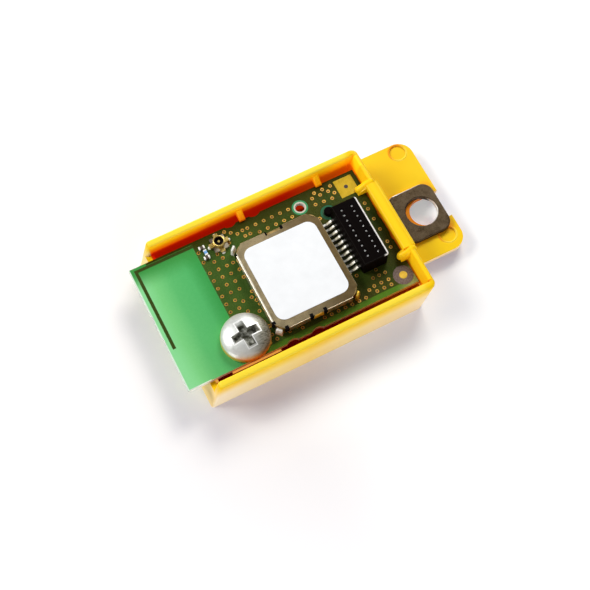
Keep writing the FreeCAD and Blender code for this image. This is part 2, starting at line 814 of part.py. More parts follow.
# Check and export
for item in doc.Objects:
    if "Invalid" in item.State or "Error" in item.State:
        raise RuntimeError("feature failed: " + item.Name)
os.makedirs("parts", exist_ok=True)
for piece in pieces:
    if piece.Shape.isNull() or not piece.Shape.isValid():
        raise RuntimeError("bad shape: " + piece.Label)
    piece.Shape.exportStep("parts/" + piece.Label + ".step")
    box = piece.Shape.BoundBox
    print("%-16s volume %9.3f  x %7.3f %7.3f  y %7.3f %7.3f  z %6.3f %6.3f" % (
        piece.Label, piece.Shape.Volume, box.XMin, box.XMax, box.YMin, box.YMax, box.ZMin, box.ZMax))
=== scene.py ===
# %% [markdown]
# # A wireless module in its moulded tray
# The real object is a small circuit board that is screwed into an open yellow moulding. This lesson loads the
# solids that were built in CAD, keeps their shapes, and gives them the finishes and the fine details that only
# show close up: plated holes, solder, crimped edges and a bare label. All sizes are in millimetres on the
# board, and one helper turns them into places in the scene.

# %% Load the fixed frame
import math
import bpy
from mathutils import Matrix, Vector


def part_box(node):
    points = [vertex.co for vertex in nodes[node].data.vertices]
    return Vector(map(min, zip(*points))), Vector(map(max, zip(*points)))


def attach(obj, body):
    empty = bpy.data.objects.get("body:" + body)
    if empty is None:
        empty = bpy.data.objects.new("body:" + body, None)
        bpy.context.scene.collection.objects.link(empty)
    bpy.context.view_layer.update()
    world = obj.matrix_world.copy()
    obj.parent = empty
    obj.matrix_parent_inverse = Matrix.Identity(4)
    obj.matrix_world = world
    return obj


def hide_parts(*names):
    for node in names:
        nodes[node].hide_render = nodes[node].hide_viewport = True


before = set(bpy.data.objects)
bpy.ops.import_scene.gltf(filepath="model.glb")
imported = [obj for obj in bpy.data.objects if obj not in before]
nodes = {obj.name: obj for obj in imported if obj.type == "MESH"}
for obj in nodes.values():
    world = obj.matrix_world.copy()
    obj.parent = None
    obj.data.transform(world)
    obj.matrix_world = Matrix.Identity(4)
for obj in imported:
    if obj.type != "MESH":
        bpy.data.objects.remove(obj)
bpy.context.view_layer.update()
MM = 0.001
print("nodes in the frame:", len(nodes))

# %% [markdown]
# The board is what everything else is placed on. A spot is given as millimetres from the bare end, from the
# front edge and above the board's face, so a number in this lesson can be checked with a ruler on the board.

# %% Places on the board
board_low, board_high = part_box("circuit_board")
LEFT, FRONT, UNDER = (value / MM for value in board_low)
RIGHT, FACE = board_high.x / MM, board_high.z / MM
BOARD_LENGTH = (board_high.x - board_low.x) / MM
BOARD_WIDTH = (board_high.y - board_low.y) / MM


def spot(x, y, z=0.0):
    """Place of a point that is given in millimetres on the board."""
    return Vector((board_low.x + x * MM, board_low.y + y * MM, board_high.z + z * MM))


def corners(name):
    """Lowest and highest corner of a CAD node in millimetres of the scene."""
    return [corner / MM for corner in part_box(name)]


print("board %.1f by %.1f mm" % (BOARD_LENGTH, BOARD_WIDTH))

# %% [markdown]
# ## Camera
# The photograph was taken from high up in front of the tray with a fairly long lens. The camera is placed by
# its aim point, distance and three angles. A long lens keeps the tray's far wall almost as large as the near
# one.

# %% Camera at the photograph's angle
AIM = spot(23.019, 8.748, -5.0)
DISTANCE = 201.62 * MM
PICTURE = 590
LENS_SHARE = 1225.69 / PICTURE
turn, lift, roll = math.radians(-27.638), math.radians(67.298), math.radians(0.573)
back = Vector((math.sin(turn) * math.cos(lift), -math.cos(turn) * math.cos(lift), math.sin(lift)))
level = Vector((math.cos(turn), math.sin(turn), 0.0))
over = back.cross(level)
right = level * math.cos(roll) + over * math.sin(roll)
upward = back.cross(right)
camera_data = bpy.data.cameras.new("camera")
camera_data.sensor_width = 36.0
camera_data.lens = LENS_SHARE * camera_data.sensor_width
camera_data.clip_start = 0.01
camera = bpy.data.objects.new("camera", camera_data)
scene = bpy.context.scene
scene.collection.objects.link(camera)
place = AIM + back * DISTANCE
camera.matrix_world = Matrix.Translation(place) @ Matrix((right, upward, back)).transposed().to_4x4()
scene.camera = camera
print("camera height %.0f mm" % (place.z / MM))

# %% [markdown]
# ## Light
# The photograph has a soft shadow on three sides of the object, so its light comes from behind on both sides.
# Two area lamps of nearly the same power do that. Two low ones fill the near wall and the bare end, and the
# world gives the rest. All of them point at the middle of the floor under the object.


# %% Lamps and world
def soft_lamp(name, where, width, power):
    """Oblong area lamp that points at the origin."""
    data = bpy.data.lights.new(name, "AREA")
    data.shape = "RECTANGLE"
    data.size = width
    data.size_y = width * LAMP_SHAPE
    data.energy = power
    lamp = bpy.data.objects.new(name, data)
    lamp.location = where
    lamp.rotation_euler = (-Vector(where)).to_track_quat("-Z", "Y").to_euler()
    scene.collection.objects.link(lamp)


LAMP_SHAPE, WORLD_LIGHT = 0.7, 0.16
soft_lamp("back_right", (0.20, 0.22, 0.25), 0.20, 1.02)
soft_lamp("back_left", (-0.24, 0.20, 0.26), 0.22, 1.06)
soft_lamp("front_fill", (0.04, -0.40, 0.08), 0.22, 0.74)
soft_lamp("left_fill", (-0.38, -0.16, 0.07), 0.18, 0.34)
world = bpy.data.worlds.new("studio")
scene.world = world
world.use_nodes = True
background = world.node_tree.nodes["Background"]
background.inputs["Color"].default_value = (1.0, 1.0, 1.0, 1.0)
background.inputs["Strength"].default_value = WORLD_LIGHT
scene.view_settings.view_transform = "Standard"

# %% [markdown]
# ## Finishes
# Every finish is a node tree with one Principled shader. What a node gives out is a value, and a value knows the
# tree it belongs to, so sums and ramps are plain functions of values. A mask is a value from nothing to one.


# %% Sums of values
def node_for(value, kind, **settings):
    """New node in the tree that a value belongs to."""
    node = value.id_data.nodes.new(kind)
    for key, setting in settings.items():
        setattr(node, key, setting)
    return node


def feed(socket, value):
    """Give a socket a plain number or colour, or link a value to it."""
    if isinstance(value, (int, float)):
        socket.default_value = value
    elif isinstance(value, tuple):
        socket.default_value = (*value, 1.0)
    else:
        socket.id_data.links.new(value, socket)


def maths(operation, first, second=0.0):
    known = second if isinstance(first, (int, float)) else first
    node = node_for(known, "ShaderNodeMath", operation=operation)
    feed(node.inputs[0], first)
    feed(node.inputs[1], second)
    return node.outputs[0]


def times(first, second):
    return maths("MULTIPLY", first, second)


def plus(first, second):
    return maths("ADD", first, second)


def minus(first, second):
    return maths("SUBTRACT", first, second)


def either(first, second):
    """The larger of two values, so one where either mask is one."""
    return maths("MAXIMUM", first, second)


def magnitude(value):
    return maths("ABSOLUTE", value)


print("sums ready")


# %% Ramps, masks and mixes
def rise(value, low, high, to_low=0.0, to_high=1.0, steps="SMOOTHSTEP"):
    """Value mapped from one range to another and clamped, smoothly unless told otherwise."""
    node = node_for(value, "ShaderNodeMapRange", interpolation_type=steps)
    sockets = ("Value", "From Min", "From Max", "To Min", "To Max")
    for socket, number in zip(sockets, (value, low, high, to_low, to_high)):
        feed(node.inputs[socket], number)
    return node.outputs["Result"]


def fall(value, low, high):
    """One below a range, nothing above it and a smooth fall between."""
    return rise(value, low, high, 1.0, 0.0)


def band(value, low, high, soft=0.05):
    """One inside a band of a coordinate and nothing outside it."""
    return times(rise(value, low - soft, low + soft), fall(value, high - soft, high + soft))


def ramp(value, stops):
    """Colour ramp through (place, colour) stops."""
    node = node_for(value, "ShaderNodeValToRGB")
    marks = node.color_ramp.elements
    for mark, (where, colour) in zip(marks, (stops[0], stops[-1])):
        mark.position = where
        mark.color = (*colour, 1.0)
    for where, colour in stops[1:-1]:
        marks.new(where).color = (*colour, 1.0)
    feed(node.inputs["Fac"], value)
    return node.outputs["Color"]


def mix(share, first, second):
    """Mix of two colours, each a value or a plain colour."""
    node = node_for(share, "ShaderNodeMix", data_type="RGBA")
    feed(node.inputs["Factor"], share)
    feed(node.inputs[6], first)
    feed(node.inputs[7], second)
    return node.outputs[2]


print("ramps ready")

# %% [markdown]
# The class starts a material, and its shortcuts are where values begin: the object's own coordinates in
# millimetres, noise, a distance or a facing. The last three end in the shader. The floor comes first.


# %% Helper for finishes
class Finish:
    """One material with its shader and the values that start in it."""

    def __init__(self, name, colour, rough, metal=0.0, **extra):
        self.material = bpy.data.materials.new(name)
        self.material.use_nodes = True
        self.tree = self.material.node_tree
        self.shader = self.tree.nodes["Principled BSDF"]
        self.set("Base Color", colour)
        self.set("Roughness", rough)
        self.set("Metallic", metal)
        for socket, value in extra.items():
            self.set(socket.replace("_", " "), value)
        start = self.add("ShaderNodeTexCoord").outputs["Object"]
        self.millimetres = self.scaled(start, (1000, 1000, 1000))

    def set(self, socket, value):
        feed(self.shader.inputs[socket], value)

    def add(self, kind, **settings):
        return node_for(self.shader, kind, **settings)

    def scaled(self, vector, scale):
        mapping = self.add("ShaderNodeMapping")
        mapping.inputs["Scale"].default_value = scale
        feed(mapping.inputs["Vector"], vector)
        return mapping.outputs["Vector"]

    def stretched(self, *scale):
        """Millimetre coordinates scaled along each axis."""
        return self.scaled(self.millimetres, scale)

    def axes(self):
        """X, Y and Z in millimetres as three values."""
        node = self.add("ShaderNodeSeparateXYZ")
        feed(node.inputs["Vector"], self.millimetres)
        return node.outputs

    def noise(self, scale, detail=3.0, rough=0.55, vector=None):
        node = self.add("ShaderNodeTexNoise")
        numbers = (vector or self.millimetres, scale, detail, rough)
        for socket, value in zip(("Vector", "Scale", "Detail", "Roughness"), numbers):
            feed(node.inputs[socket], value)
        return node.outputs["Fac"]

    def compared(self, operation, vector, point):
        node = self.add("ShaderNodeVectorMath", operation=operation)
        feed(node.inputs[0], vector)
        node.inputs[1].default_value = point
        return node.outputs["Value"]

    def distance(self, x, y, z=None):
        """Distance in millimetres from an upright line, or from a point whose height is given."""
        if z is None:
            return self.compared("DISTANCE", self.stretched(1.0, 1.0, 0.0), (x, y, 0.0))
        return self.compared("DISTANCE", self.millimetres, (x, y, z))

    def facing(self, x, y, z):
        """How far the surface faces a direction: one towards it and minus one away from it."""
        normal = self.add("ShaderNodeNewGeometry").outputs["Normal"]
        return self.compared("DOT_PRODUCT", normal, (x, y, z))

    def turned(self):
        """How far the surface turns away from level: nothing on flat faces and one on upright ones."""
        return minus(1.0, magnitude(self.facing(0, 0, 1)))

    def colour(self, value):
        self.set("Base Color", value)

    def roughness(self, value, low, high):
        self.set("Roughness", rise(value, 0.3, 0.7, low, high))

    def bump(self, value, depth):
        """Bumps of a depth in millimetres."""
        node = self.add("ShaderNodeBump")
        feed(node.inputs["Strength"], 1.0)
        feed(node.inputs["Distance"], depth * MM)
        feed(node.inputs["Height"], value)
        self.set("Normal", node.outputs["Normal"])


print("finishes ready")

# %% [markdown]
# The floor is white in the photograph, with a soft grey shadow. A purely white surface would need more light
# than the object can take, so part of its white is its own glow, seen only by the camera and by reflections.
# The rest is diffuse and still catches the shadow. The glow is bluish and the diffuse part is a little warm, so
# the lit floor is white and the shadow stays cool beside the yellow walls. The glow is weak near the object and
# grows between the distances NEAR and FAR, which paints a deeper shadow round the object, and near the object it
# is bluer on the right than on the left, a painted tint of that shadow. Under the hole of the plate the glow is
# brighter, a painted pool of light.

# %% Floor
bpy.ops.object.select_all(action="DESELECT")
bpy.ops.mesh.primitive_plane_add(size=2.0, location=(0, 0, 0))
floor = bpy.context.object
floor.name = "floor"
bpy.ops.object.mode_set(mode="EDIT")
bpy.ops.mesh.subdivide(number_cuts=3)
bpy.ops.object.mode_set(mode="OBJECT")
print("floor faces:", len(floor.data.polygons))

# %% Floor paint
NEAR, FAR = 30, 65
PLATE_HOLE = (22.2, 2.5)
paint = Finish("floor_paint", (1.0, 1.0, 1.0), 1.0)
x, y, z = paint.axes()
# painted shadow: near the object the glow is weak, and bluer on the right than on the left
shadow_tint = mix(rise(x, -16, 4), (0.0, 0.0, 0.12), (0.11, 0.135, 0.25))
shadow_fade = rise(paint.distance(0, 0), NEAR, FAR, steps="LINEAR")
tint = mix(shadow_fade, shadow_tint, (0.22, 0.24, 0.36))
# painted pool of light on the floor under the plate's hole
hole_light = fall(paint.distance(*PLATE_HOLE), 1.5, 4.8)
matt = paint.add("ShaderNodeBsdfDiffuse")
feed(matt.inputs["Color"], (0.93, 0.90, 0.79))
glow = paint.add("ShaderNodeEmission")
path = paint.add("ShaderNodeLightPath").outputs
seen = either(path["Is Camera Ray"], path["Is Glossy Ray"])
seen = either(seen, path["Is Transmission Ray"])
both = paint.add("ShaderNodeAddShader")
feed(glow.inputs["Color"], mix(hole_light, tint, (0.27, 0.36, 0.40)))
feed(glow.inputs["Strength"], seen)
feed(both.inputs[0], matt.outputs[0])
feed(both.inputs[1], glow.outputs[0])
feed(paint.tree.nodes["Material Output"].inputs["Surface"], both.outputs[0])
paint.tree.nodes.remove(paint.shader)
floor.data.materials.append(paint.material)
print("floor nodes:", len(paint.tree.nodes))

# %% [markdown]
# The tray is a warm yellow plastic with a soft gloss, and its rim is painted paler as a highlight. Light that gets
# between its walls bounces from yellow to yellow and turns orange, then red, so the colour is painted deeper the
# lower it lies inside the box, as painted shade and bounced light. The mask for that is one inside the walls and
# nothing outside them. WALL is how thick a side wall is, and SKIN how far a mask reaches past its face.

# %% Tray plastic and the mask of its inside
tray = Finish("tray_plastic", (0.93, 0.50, 0.004), 0.30, Specular_IOR_Level=0.12)
tray_low, tray_high = corners("carrier_tray")
WALL, SKIN = 1.3, 0.12
SILL, FAR_WALL = 4.5, 42.2
x, y, z = tray.axes()
clouds = tray.noise(0.12, 2.0)
yellow = ramp(clouds, [(0.3, (0.92, 0.56, 0.003)), (0.7, (0.95, 0.62, 0.005))])
# painted highlight: the top of the rim is paler
rim_highlight = rise(z, tray_high.z - 0.35, tray_high.z - 0.05)
rim_highlight = times(rim_highlight, fall(x, RIGHT - 1.0, RIGHT + 0.5))
yellow = mix(rim_highlight, yellow, (0.97, 0.72, 0.045))
across = band(y, tray_low.y + WALL - SKIN, tray_high.y - WALL + SKIN, 0.04)
along = band(x, LEFT + SILL, LEFT + FAR_WALL, 0.2)
end_face = times(rise(tray.facing(1, 0, 0), 0.3, 0.6), rise(x, RIGHT - 1.5, RIGHT - 0.5))
underside = times(fall(tray.facing(0, 0, 1), -0.6, -0.3), fall(z, 0.6, 0.8))
along = times(along, minus(1.0, either(end_face, underside)))
between = times(across, along)
faces = band(y, tray_low.y + WALL + SKIN, tray_high.y - WALL - SKIN, 0.04)
under = fall(z, FACE - 0.1, FACE + 0.1)
on_wall = either(minus(1.0, faces), under)
inside = times(between, on_wall)
print("tray is %.1f mm high" % (tray_high.z - tray_low.z))

# %% [markdown]
# Between the walls the colour is painted from orange at the rim to red at the board, as shade and bounced light.
# The gap in front of the board is painted nearly dark as shade, and the far corner and the gap at the end wall
# get painted light. The ledge under the front is painted lit.

# %% Deep colours between the walls
depth = fall(z, FACE - 0.6, tray_high.z - 0.2)
bounce_shade = mix(depth, (0.97, 0.42, 0.003), (0.60, 0.012, 0.0005))
reach = rise(x, LEFT + 6.0, LEFT + 41.0)
front_gap_shade = ramp(reach, [(0.0, (0.45, 0.03, 0.002)), (0.35, (0.12, 0.004, 0.001)),
                   (0.65, (0.05, 0.001, 0.0005)), (1.0, (0.30, 0.008, 0.001))])
front_gap = times(under, fall(y, FRONT + 0.3, FRONT + 0.6))
bounce_shade = mix(front_gap, bounce_shade, front_gap_shade)
# painted light in the far corner between the walls
corner = rise(x, LEFT + 28.0, LEFT + 38.0)
bounce_shade = mix(times(corner, 0.55), bounce_shade, (0.97, 0.40, 0.003))
lit_end_gap = rise(x, RIGHT - 0.9, RIGHT - 0.4)
bounce_shade = mix(lit_end_gap, bounce_shade, (0.96, 0.30, 0.003))
lit_ledge = band(z, UNDER - 0.15, UNDER + 0.1, 0.03)
lit_ledge = times(lit_ledge, band(y, FRONT - 0.50, FRONT - 0.02, 0.04))
bounce_shade = mix(lit_ledge, bounce_shade, (0.95, 0.50, 0.12))
body = mix(inside, yellow, bounce_shade)
print("deep colours start %.1f mm up" % (tray_high.z - 0.2))

# %% [markdown]
# The outer walls are painted paler towards the floor as light and reflection from the floor, and how pale they are
# changes along their length, palest at the bare end. The inner face of the rear wall takes the painted deep colours
# as a whole. Round the plate's hole and under the plate the plastic is painted orange as shade. The end wall and
# its hooks get painted light above the board, and the rims of two round marks are painted lit on one side and
# shaded on the other.

# %% Outer walls, rear wall and flange
upright = rise(tray.turned(), 0.6, 0.9)
# painted light and reflection from the floor on the outer walls
floor_lit_walls = times(upright, minus(1.0, between))
floor_lit_walls = times(floor_lit_walls, rise(z, tray_high.z - 4.0, tray_high.z - 0.6, 0.6, 0.0))
length = rise(x, LEFT, LEFT + 42.0)
pale = ramp(length, [(0.03, (0.98, 0.93, 0.92)), (0.20, (0.97, 0.84, 0.56)), (0.46, (0.98, 0.75, 0.35)),
                     (0.74, (0.97, 0.82, 0.55)), (0.94, (0.97, 0.82, 0.64)), (1.0, (0.96, 0.82, 0.74))])
body = mix(floor_lit_walls, body, pale)
rear_face = times(band(y, tray_high.y - WALL - 2.2, tray_high.y - WALL + SKIN, 0.12), along)
body = mix(rear_face, body, bounce_shade)
plate_low, plate_high = corners("fixing_plate")
plate_middle = (plate_low + plate_high) / 2
away = tray.distance(plate_middle.x, plate_middle.y)
# painted shade: orange round the plate's hole and in the slot under it
slot_shade = either(times(upright, fall(away, 4.2, 4.8)), fall(away, 3.0, 3.4))
body = mix(slot_shade, body, (0.98, 0.24, 0.004))
# painted light on the end wall and its hooks above the board
hook_light = times(between, minus(1.0, on_wall))
hook_light = times(hook_light, rise(x, plate_low.x - 8.0, plate_low.x - 7.0))
body = mix(hook_light, body, (0.98, 0.60, 0.008))
MARKS = ((50.2, 23.45), (50.2, 6.2))
MARK_RADIUS, MARK_RIM = 1.50, 0.18
LEAN_X, LEAN_Y = 0.5, 0.85
lean = minus(times(x, LEAN_X), times(y, LEAN_Y))
# painted light on one side of each mark's rim and painted shade on the other
for mark_x, mark_y in MARKS:
    mark = spot(mark_x, mark_y) / MM
    rim_line = band(tray.distance(mark.x, mark.y), MARK_RADIUS - MARK_RIM, MARK_RADIUS + MARK_RIM, 0.10)
    rim_line = times(rim_line, fall(z, 2.5, 2.8))
    middle = mark.x * LEAN_X - mark.y * LEAN_Y
    one_side_light = mix(rise(lean, middle - 1.0, middle + 1.0), (0.88, 0.32, 0.004), (0.96, 0.70, 0.05))
    body = mix(rim_line, body, one_side_light)
# painted shadow of the plate on the flange, orange under and beside it
plate_shadow = times(band(x, plate_low.x - 0.2, plate_high.x + 0.2, 0.8),
              band(y, plate_low.y - 0.2, plate_high.y + 0.2, 0.8))
plate_shadow = times(plate_shadow, rise(z, 2.3, 2.8, 0.8, 0.0))
tray.colour(mix(plate_shadow, body, (0.98, 0.30, 0.004)))
print("marks on the flange:", len(MARKS))

# %% [markdown]
# Plain soft light doesn't bounce between the walls as often as in life, so the inner faces glow a little. The
# glow is yellow at the rim and red at the board, and it is weak in the gap in front of the board.

# %% Glow of the inner faces
warmth = ramp(depth, [(0.0, (0.33, 0.22, 0.002)), (0.30, (0.28, 0.095, 0.0)),
                      (0.78, (0.31, 0.048, 0.0)), (1.0, (0.22, 0.004, 0.0))])
far_warmth = ramp(depth, [(0.0, (0.33, 0.22, 0.002)), (0.60, (0.38, 0.15, 0.0)),
                          (0.85, (0.34, 0.08, 0.0)), (1.0, (0.20, 0.03, 0.0))])
warmth = mix(corner, warmth, far_warmth)
gap_glow = mix(lit_ledge, (0.012, 0.0, 0.0), (0.46, 0.25, 0.05))
gap_glow = mix(inside, (0.0, 0.0, 0.0), gap_glow)
gap_glow = mix(hook_light, gap_glow, (0.12, 0.06, 0.0))
warmth = mix(rear_face, gap_glow, warmth)
tray.set("Emission Color", warmth)
tray.set("Emission Strength", 1.0)
tray.roughness(clouds, 0.29, 0.33)
tray.bump(tray.noise(2.0, 2.0), 0.001)
print("tray nodes:", len(tray.tree.nodes))

# %% [markdown]
# The board has three zones. At the bare end there is no copper, so the mask looks light and milky over the
# pale laminate. Past it the copper plane makes the same mask dark olive. A narrow margin along the edges has
# no copper either. The zones are cut with smooth steps along X and Y, and the cut sides show bare laminate. Two
# strips of copper make the aerial, one along the side of the bare end and one along its rear.

# %% Helpers for zones of the board
board = Finish("board_mask", (0.1, 0.4, 0.15), 0.3, Specular_IOR_Level=0.07)
x, y, z = board.axes()
PLANE_START, MARGIN = 11.05, 0.95


def patch(x_low, x_high, y_low, y_high):
    """One inside a rectangle given in millimetres on the board."""
    along = band(x, LEFT + x_low, LEFT + x_high)
    return times(along, band(y, FRONT + y_low, FRONT + y_high))


def away_from(x_mid, y_mid, radius):
    """Nothing inside a circle on the board's face and one outside it."""
    return rise(board.distance(*(spot(x_mid, y_mid) / MM)), radius - 0.05, radius + 0.05)


print("plane starts at %.2f mm" % PLANE_START)

# %% Shades of the board
cloud = board.noise(0.10, 1.0)
reach = rise(plus(x, times(cloud, 1.5)), LEFT + 0.2, LEFT + 12.2)
pale = ramp(reach, [(0.0, (0.26, 0.69, 0.30)), (0.20, (0.185, 0.59, 0.205)), (0.50, (0.110, 0.48, 0.150)),
                    (0.85, (0.088, 0.45, 0.135)), (1.0, (0.044, 0.32, 0.070))])
pale = mix(rise(y, FRONT + 18, FRONT + 22), pale, (0.045, 0.28, 0.055))
weave = board.noise(5.0, 3.0)
patches = board.noise(0.25, 2.0)
near = ramp(weave, [(0.3, (0.038, 0.078, 0.010)), (0.52, (0.053, 0.102, 0.017)),
                    (0.75, (0.085, 0.135, 0.028))])
far = ramp(weave, [(0.3, (0.034, 0.041, 0.005)), (0.52, (0.052, 0.060, 0.009)),
                   (0.75, (0.084, 0.086, 0.016))])
plane = mix(rise(x, LEFT + 15, LEFT + 26), near, far)
plane = mix(rise(patches, 0.4, 0.65, 0.0, 0.5), plane, (0.030, 0.072, 0.010))
plane = mix(rise(y, FRONT + 20.0, FRONT + 22.0), plane, (0.036, 0.042, 0.004))
print("shades from pale to plane ready")

# %% [markdown]
# Two holes have their own rings in the mask: a tinned one, and the dark one of the header's post. Clear resin
# lies beside the round pad in the corner.

# %% Zones of the board
STRIP, SIDE_LINE, REAR_LINE = 0.55, 0.75, 22.35
GUIDE = (33.7, 17.5)
HOLES = ((29.9, 20.45), GUIDE)
RINGS = ((0.62, 0.60, 0.50), (0.04, 0.10, 0.05))
HALOS = ((0.05, 0.30, 0.12), (0.03, 0.14, 0.07))
copper = patch(PLANE_START, BOARD_LENGTH - 0.4, MARGIN, BOARD_WIDTH - 0.3)
for hole_x, hole_y in HOLES:
    copper = times(copper, away_from(hole_x, hole_y, 1.4))
side_strip = patch(SIDE_LINE, SIDE_LINE + STRIP, 7.3, REAR_LINE)
rear_strip = patch(SIDE_LINE, PLANE_START + 0.1, REAR_LINE - STRIP, REAR_LINE)
aerial = either(side_strip, rear_strip)
margin = mix(rise(y, FRONT + 10, FRONT + 12), (0.080, 0.19, 0.016), (0.034, 0.040, 0.003))
margin = mix(rise(x, LEFT + PLANE_START - 0.1, LEFT + PLANE_START + 0.1), pale, margin)
margin = mix(patch(3.0, BOARD_LENGTH, 22.4, BOARD_WIDTH + 1), margin, (0.036, 0.044, 0.003))
margin = mix(patch(BOARD_LENGTH - 0.9, BOARD_LENGTH + 1, 3.0, BOARD_WIDTH), margin, (0.040, 0.050, 0.005))
face = mix(copper, margin, plane)
face = mix(aerial, face, (0.040, 0.060, 0.010))
slant = rise(minus(x, y), LEFT - FRONT + 36.3, LEFT - FRONT + 39.8)
resin = times(patch(37.0, 41.0, 0.0, 3.9), slant)
resin = times(resin, rise(weave, 0.3, 0.7, 0.6, 1.0))
face = mix(resin, face, (0.32, 0.34, 0.11))
for (hole_x, hole_y), ring, halo in zip(HOLES, RINGS, HALOS):
    face = mix(away_from(hole_x, hole_y, 1.35), halo, face)
    face = mix(away_from(hole_x, hole_y, 1.05), ring, face)
cut = either(patch(-1.0, 0.2, -1.0, BOARD_WIDTH + 1), patch(-1.0, 4.0, -1.0, 0.14))
face = mix(cut, face, (0.66, 0.80, 0.66))
flat = fall(board.turned(), 0.2, 0.6)
layers = board.noise(1.0, 4.0, vector=board.stretched(0.6, 0.6, 9.0))
edge = ramp(layers, [(0.3, (0.62, 0.64, 0.58)), (0.7, (0.86, 0.86, 0.84))])
board.colour(mix(flat, edge, face))
board.roughness(board.noise(1.6), 0.22, 0.32)
relief = plus(either(copper, aerial), times(weave, 0.2))
board.bump(relief, 0.03)
print("board nodes:", len(board.tree.nodes))

# %% [markdown]
# The shield is thin tinned sheet that has dulled to a warm grey. Rolled sheet has very fine lines along one
# direction, so its noise is stretched. Small marks come from a second, rounder noise. The lid is painted lighter
# at its near end and darker at its far end, a painted shading of the light; its bent edges get a painted
# highlight, and a cream painted highlight runs along its near edge.


# %% Helper for metals
def rolled_metal(name, dark, bright, rough, stretch, grain=0.004, bend_highlight=None, metal=1.0, far=None):
    """Sheet metal with rolling lines and tarnish, a painted highlight colour where edges turn, and painted darker
    shades far along X.
    """
    finish = Finish(name, bright, rough, metal)
    lines = finish.noise(1.0, 4.0, vector=finish.stretched(*stretch))
    tarnish = finish.noise(0.8, 3.0)
    both = plus(times(lines, 0.45), times(tarnish, 0.55))
    shade = ramp(both, [(0.3, dark), (0.7, bright)])
    if far:
        start, end, far_dark, far_bright = far
        along = rise(finish.axes()[0], start, end)
        shade = mix(along, shade, ramp(both, [(0.3, far_dark), (0.7, far_bright)]))
    if bend_highlight:
        shade = mix(rise(finish.turned(), 0.04, 0.30), shade, bend_highlight)
    finish.shade = shade
    finish.colour(shade)
    finish.roughness(both, rough * 0.8, rough * 1.25)
    finish.bump(lines, grain)
    return finish


print("metal helper ready")

# %% Shield sheet
ALONG_X, ALONG_Y, EVEN = (0.8, 14.0, 14.0), (12.0, 1.0, 12.0), (5.0, 5.0, 5.0)
lid_low, lid_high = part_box("shield_lid")
# painted shade: the lid is darker towards its far end
painted_far_shade = (lid_low.x / MM + 1, lid_high.x / MM - 0.5, (0.110, 0.074, 0.030), (0.165, 0.113, 0.050))
lid_sheet = rolled_metal("lid_sheet", (0.31, 0.245, 0.137), (0.44, 0.352, 0.202), 0.42, ALONG_X, 0.002,
                         (0.80, 0.74, 0.56), far=painted_far_shade)
x, y, z = lid_sheet.axes()
# painted highlight: a cream line along the lid's near edge
lip = fall(x, lid_low.x / MM + 0.26, lid_low.x / MM + 0.36)
specks = rise(lid_sheet.noise(6.0, 2.0), 0.38, 0.66, 0.0, 0.30)
mottled = mix(specks, lid_sheet.shade, (0.085, 0.060, 0.030))
lid_sheet.colour(mix(lip, mottled, (0.86, 0.80, 0.66)))
frame_sheet = rolled_metal("frame_sheet", (0.40, 0.26, 0.09), (0.74, 0.50, 0.20), 0.30, ALONG_Y)
print("shield is %.1f mm long" % ((lid_high.x - lid_low.x) / MM))

# %% [markdown]
# The header's leads are tinned, and their sides are painted dark as shade, so the finish counts the pitch along Y
# and darkens what is off the middle of each lead. The other metals are gold on pads and contacts, and solder.

# %% Tin, gold and solder
lead_tin = rolled_metal("lead_tin", (0.30, 0.28, 0.23), (0.88, 0.86, 0.80), 0.36, (1.4, 3.0, 3.0), metal=0.85)
lead_low, lead_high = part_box("header_leads")
LEADS, LEAD_WIDTH = 10, 0.45
PITCH = (lead_high.y - lead_low.y - LEAD_WIDTH * MM) / (LEADS - 1)
x, y, z = lead_tin.axes()
step = maths("DIVIDE", minus(y, lead_low.y / MM + LEAD_WIDTH / 2), PITCH / MM)
step = minus(maths("FRACT", plus(step, 0.5)), 0.5)
off_centre = magnitude(step)
# painted shade on the sides of each lead
lead_tin.colour(mix(rise(off_centre, 0.13, 0.22), lead_tin.shade, (0.05, 0.045, 0.03)))
via_gold = rolled_metal("via_gold", (0.42, 0.19, 0.02), (0.80, 0.46, 0.08), 0.36, EVEN, metal=0.8)
dot_gold = rolled_metal("dot_gold", (0.55, 0.33, 0.02), (0.88, 0.58, 0.06), 0.40, EVEN, metal=0.6)
pad_gold = rolled_metal("pad_gold", (0.30, 0.19, 0.010), (0.50, 0.34, 0.030), 0.45, (9.0, 1.4, 2.0))
solder = rolled_metal("solder", (0.80, 0.78, 0.70), (0.96, 0.95, 0.90), 0.45, EVEN, metal=0.10)
contact_gold = rolled_metal("contact_gold", (0.55, 0.38, 0.07), (0.90, 0.70, 0.24), 0.30, EVEN, 0.003,
                            (0.98, 0.86, 0.46), metal=0.85)
shell_gold = rolled_metal("shell_gold", (0.40, 0.27, 0.05), (0.75, 0.56, 0.18), 0.32, EVEN, 0.003, metal=0.85)
coax_low, coax_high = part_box("coax_shell")
coax_middle = (coax_low + coax_high) / 2
# painted shade inside the socket's ring
bore_shade = fall(shell_gold.distance(coax_middle.x / MM, coax_middle.y / MM), 0.78, 0.82)
shell_gold.colour(mix(bore_shade, shell_gold.shade, (0.10, 0.055, 0.015)))
pin_tip = rolled_metal("pin_tip", (0.88, 0.87, 0.83), (1.0, 0.99, 0.96), 0.35, EVEN, metal=0.15)
print("lead pitch %.3f mm" % (PITCH / MM))

# %% [markdown]
# The screw is bright zinc. Its head is painted lighter on one side and darker on the other as shade, its recess
# is painted dark as shade with a few painted glints, and its low side has a painted yellow reflection of the tray.

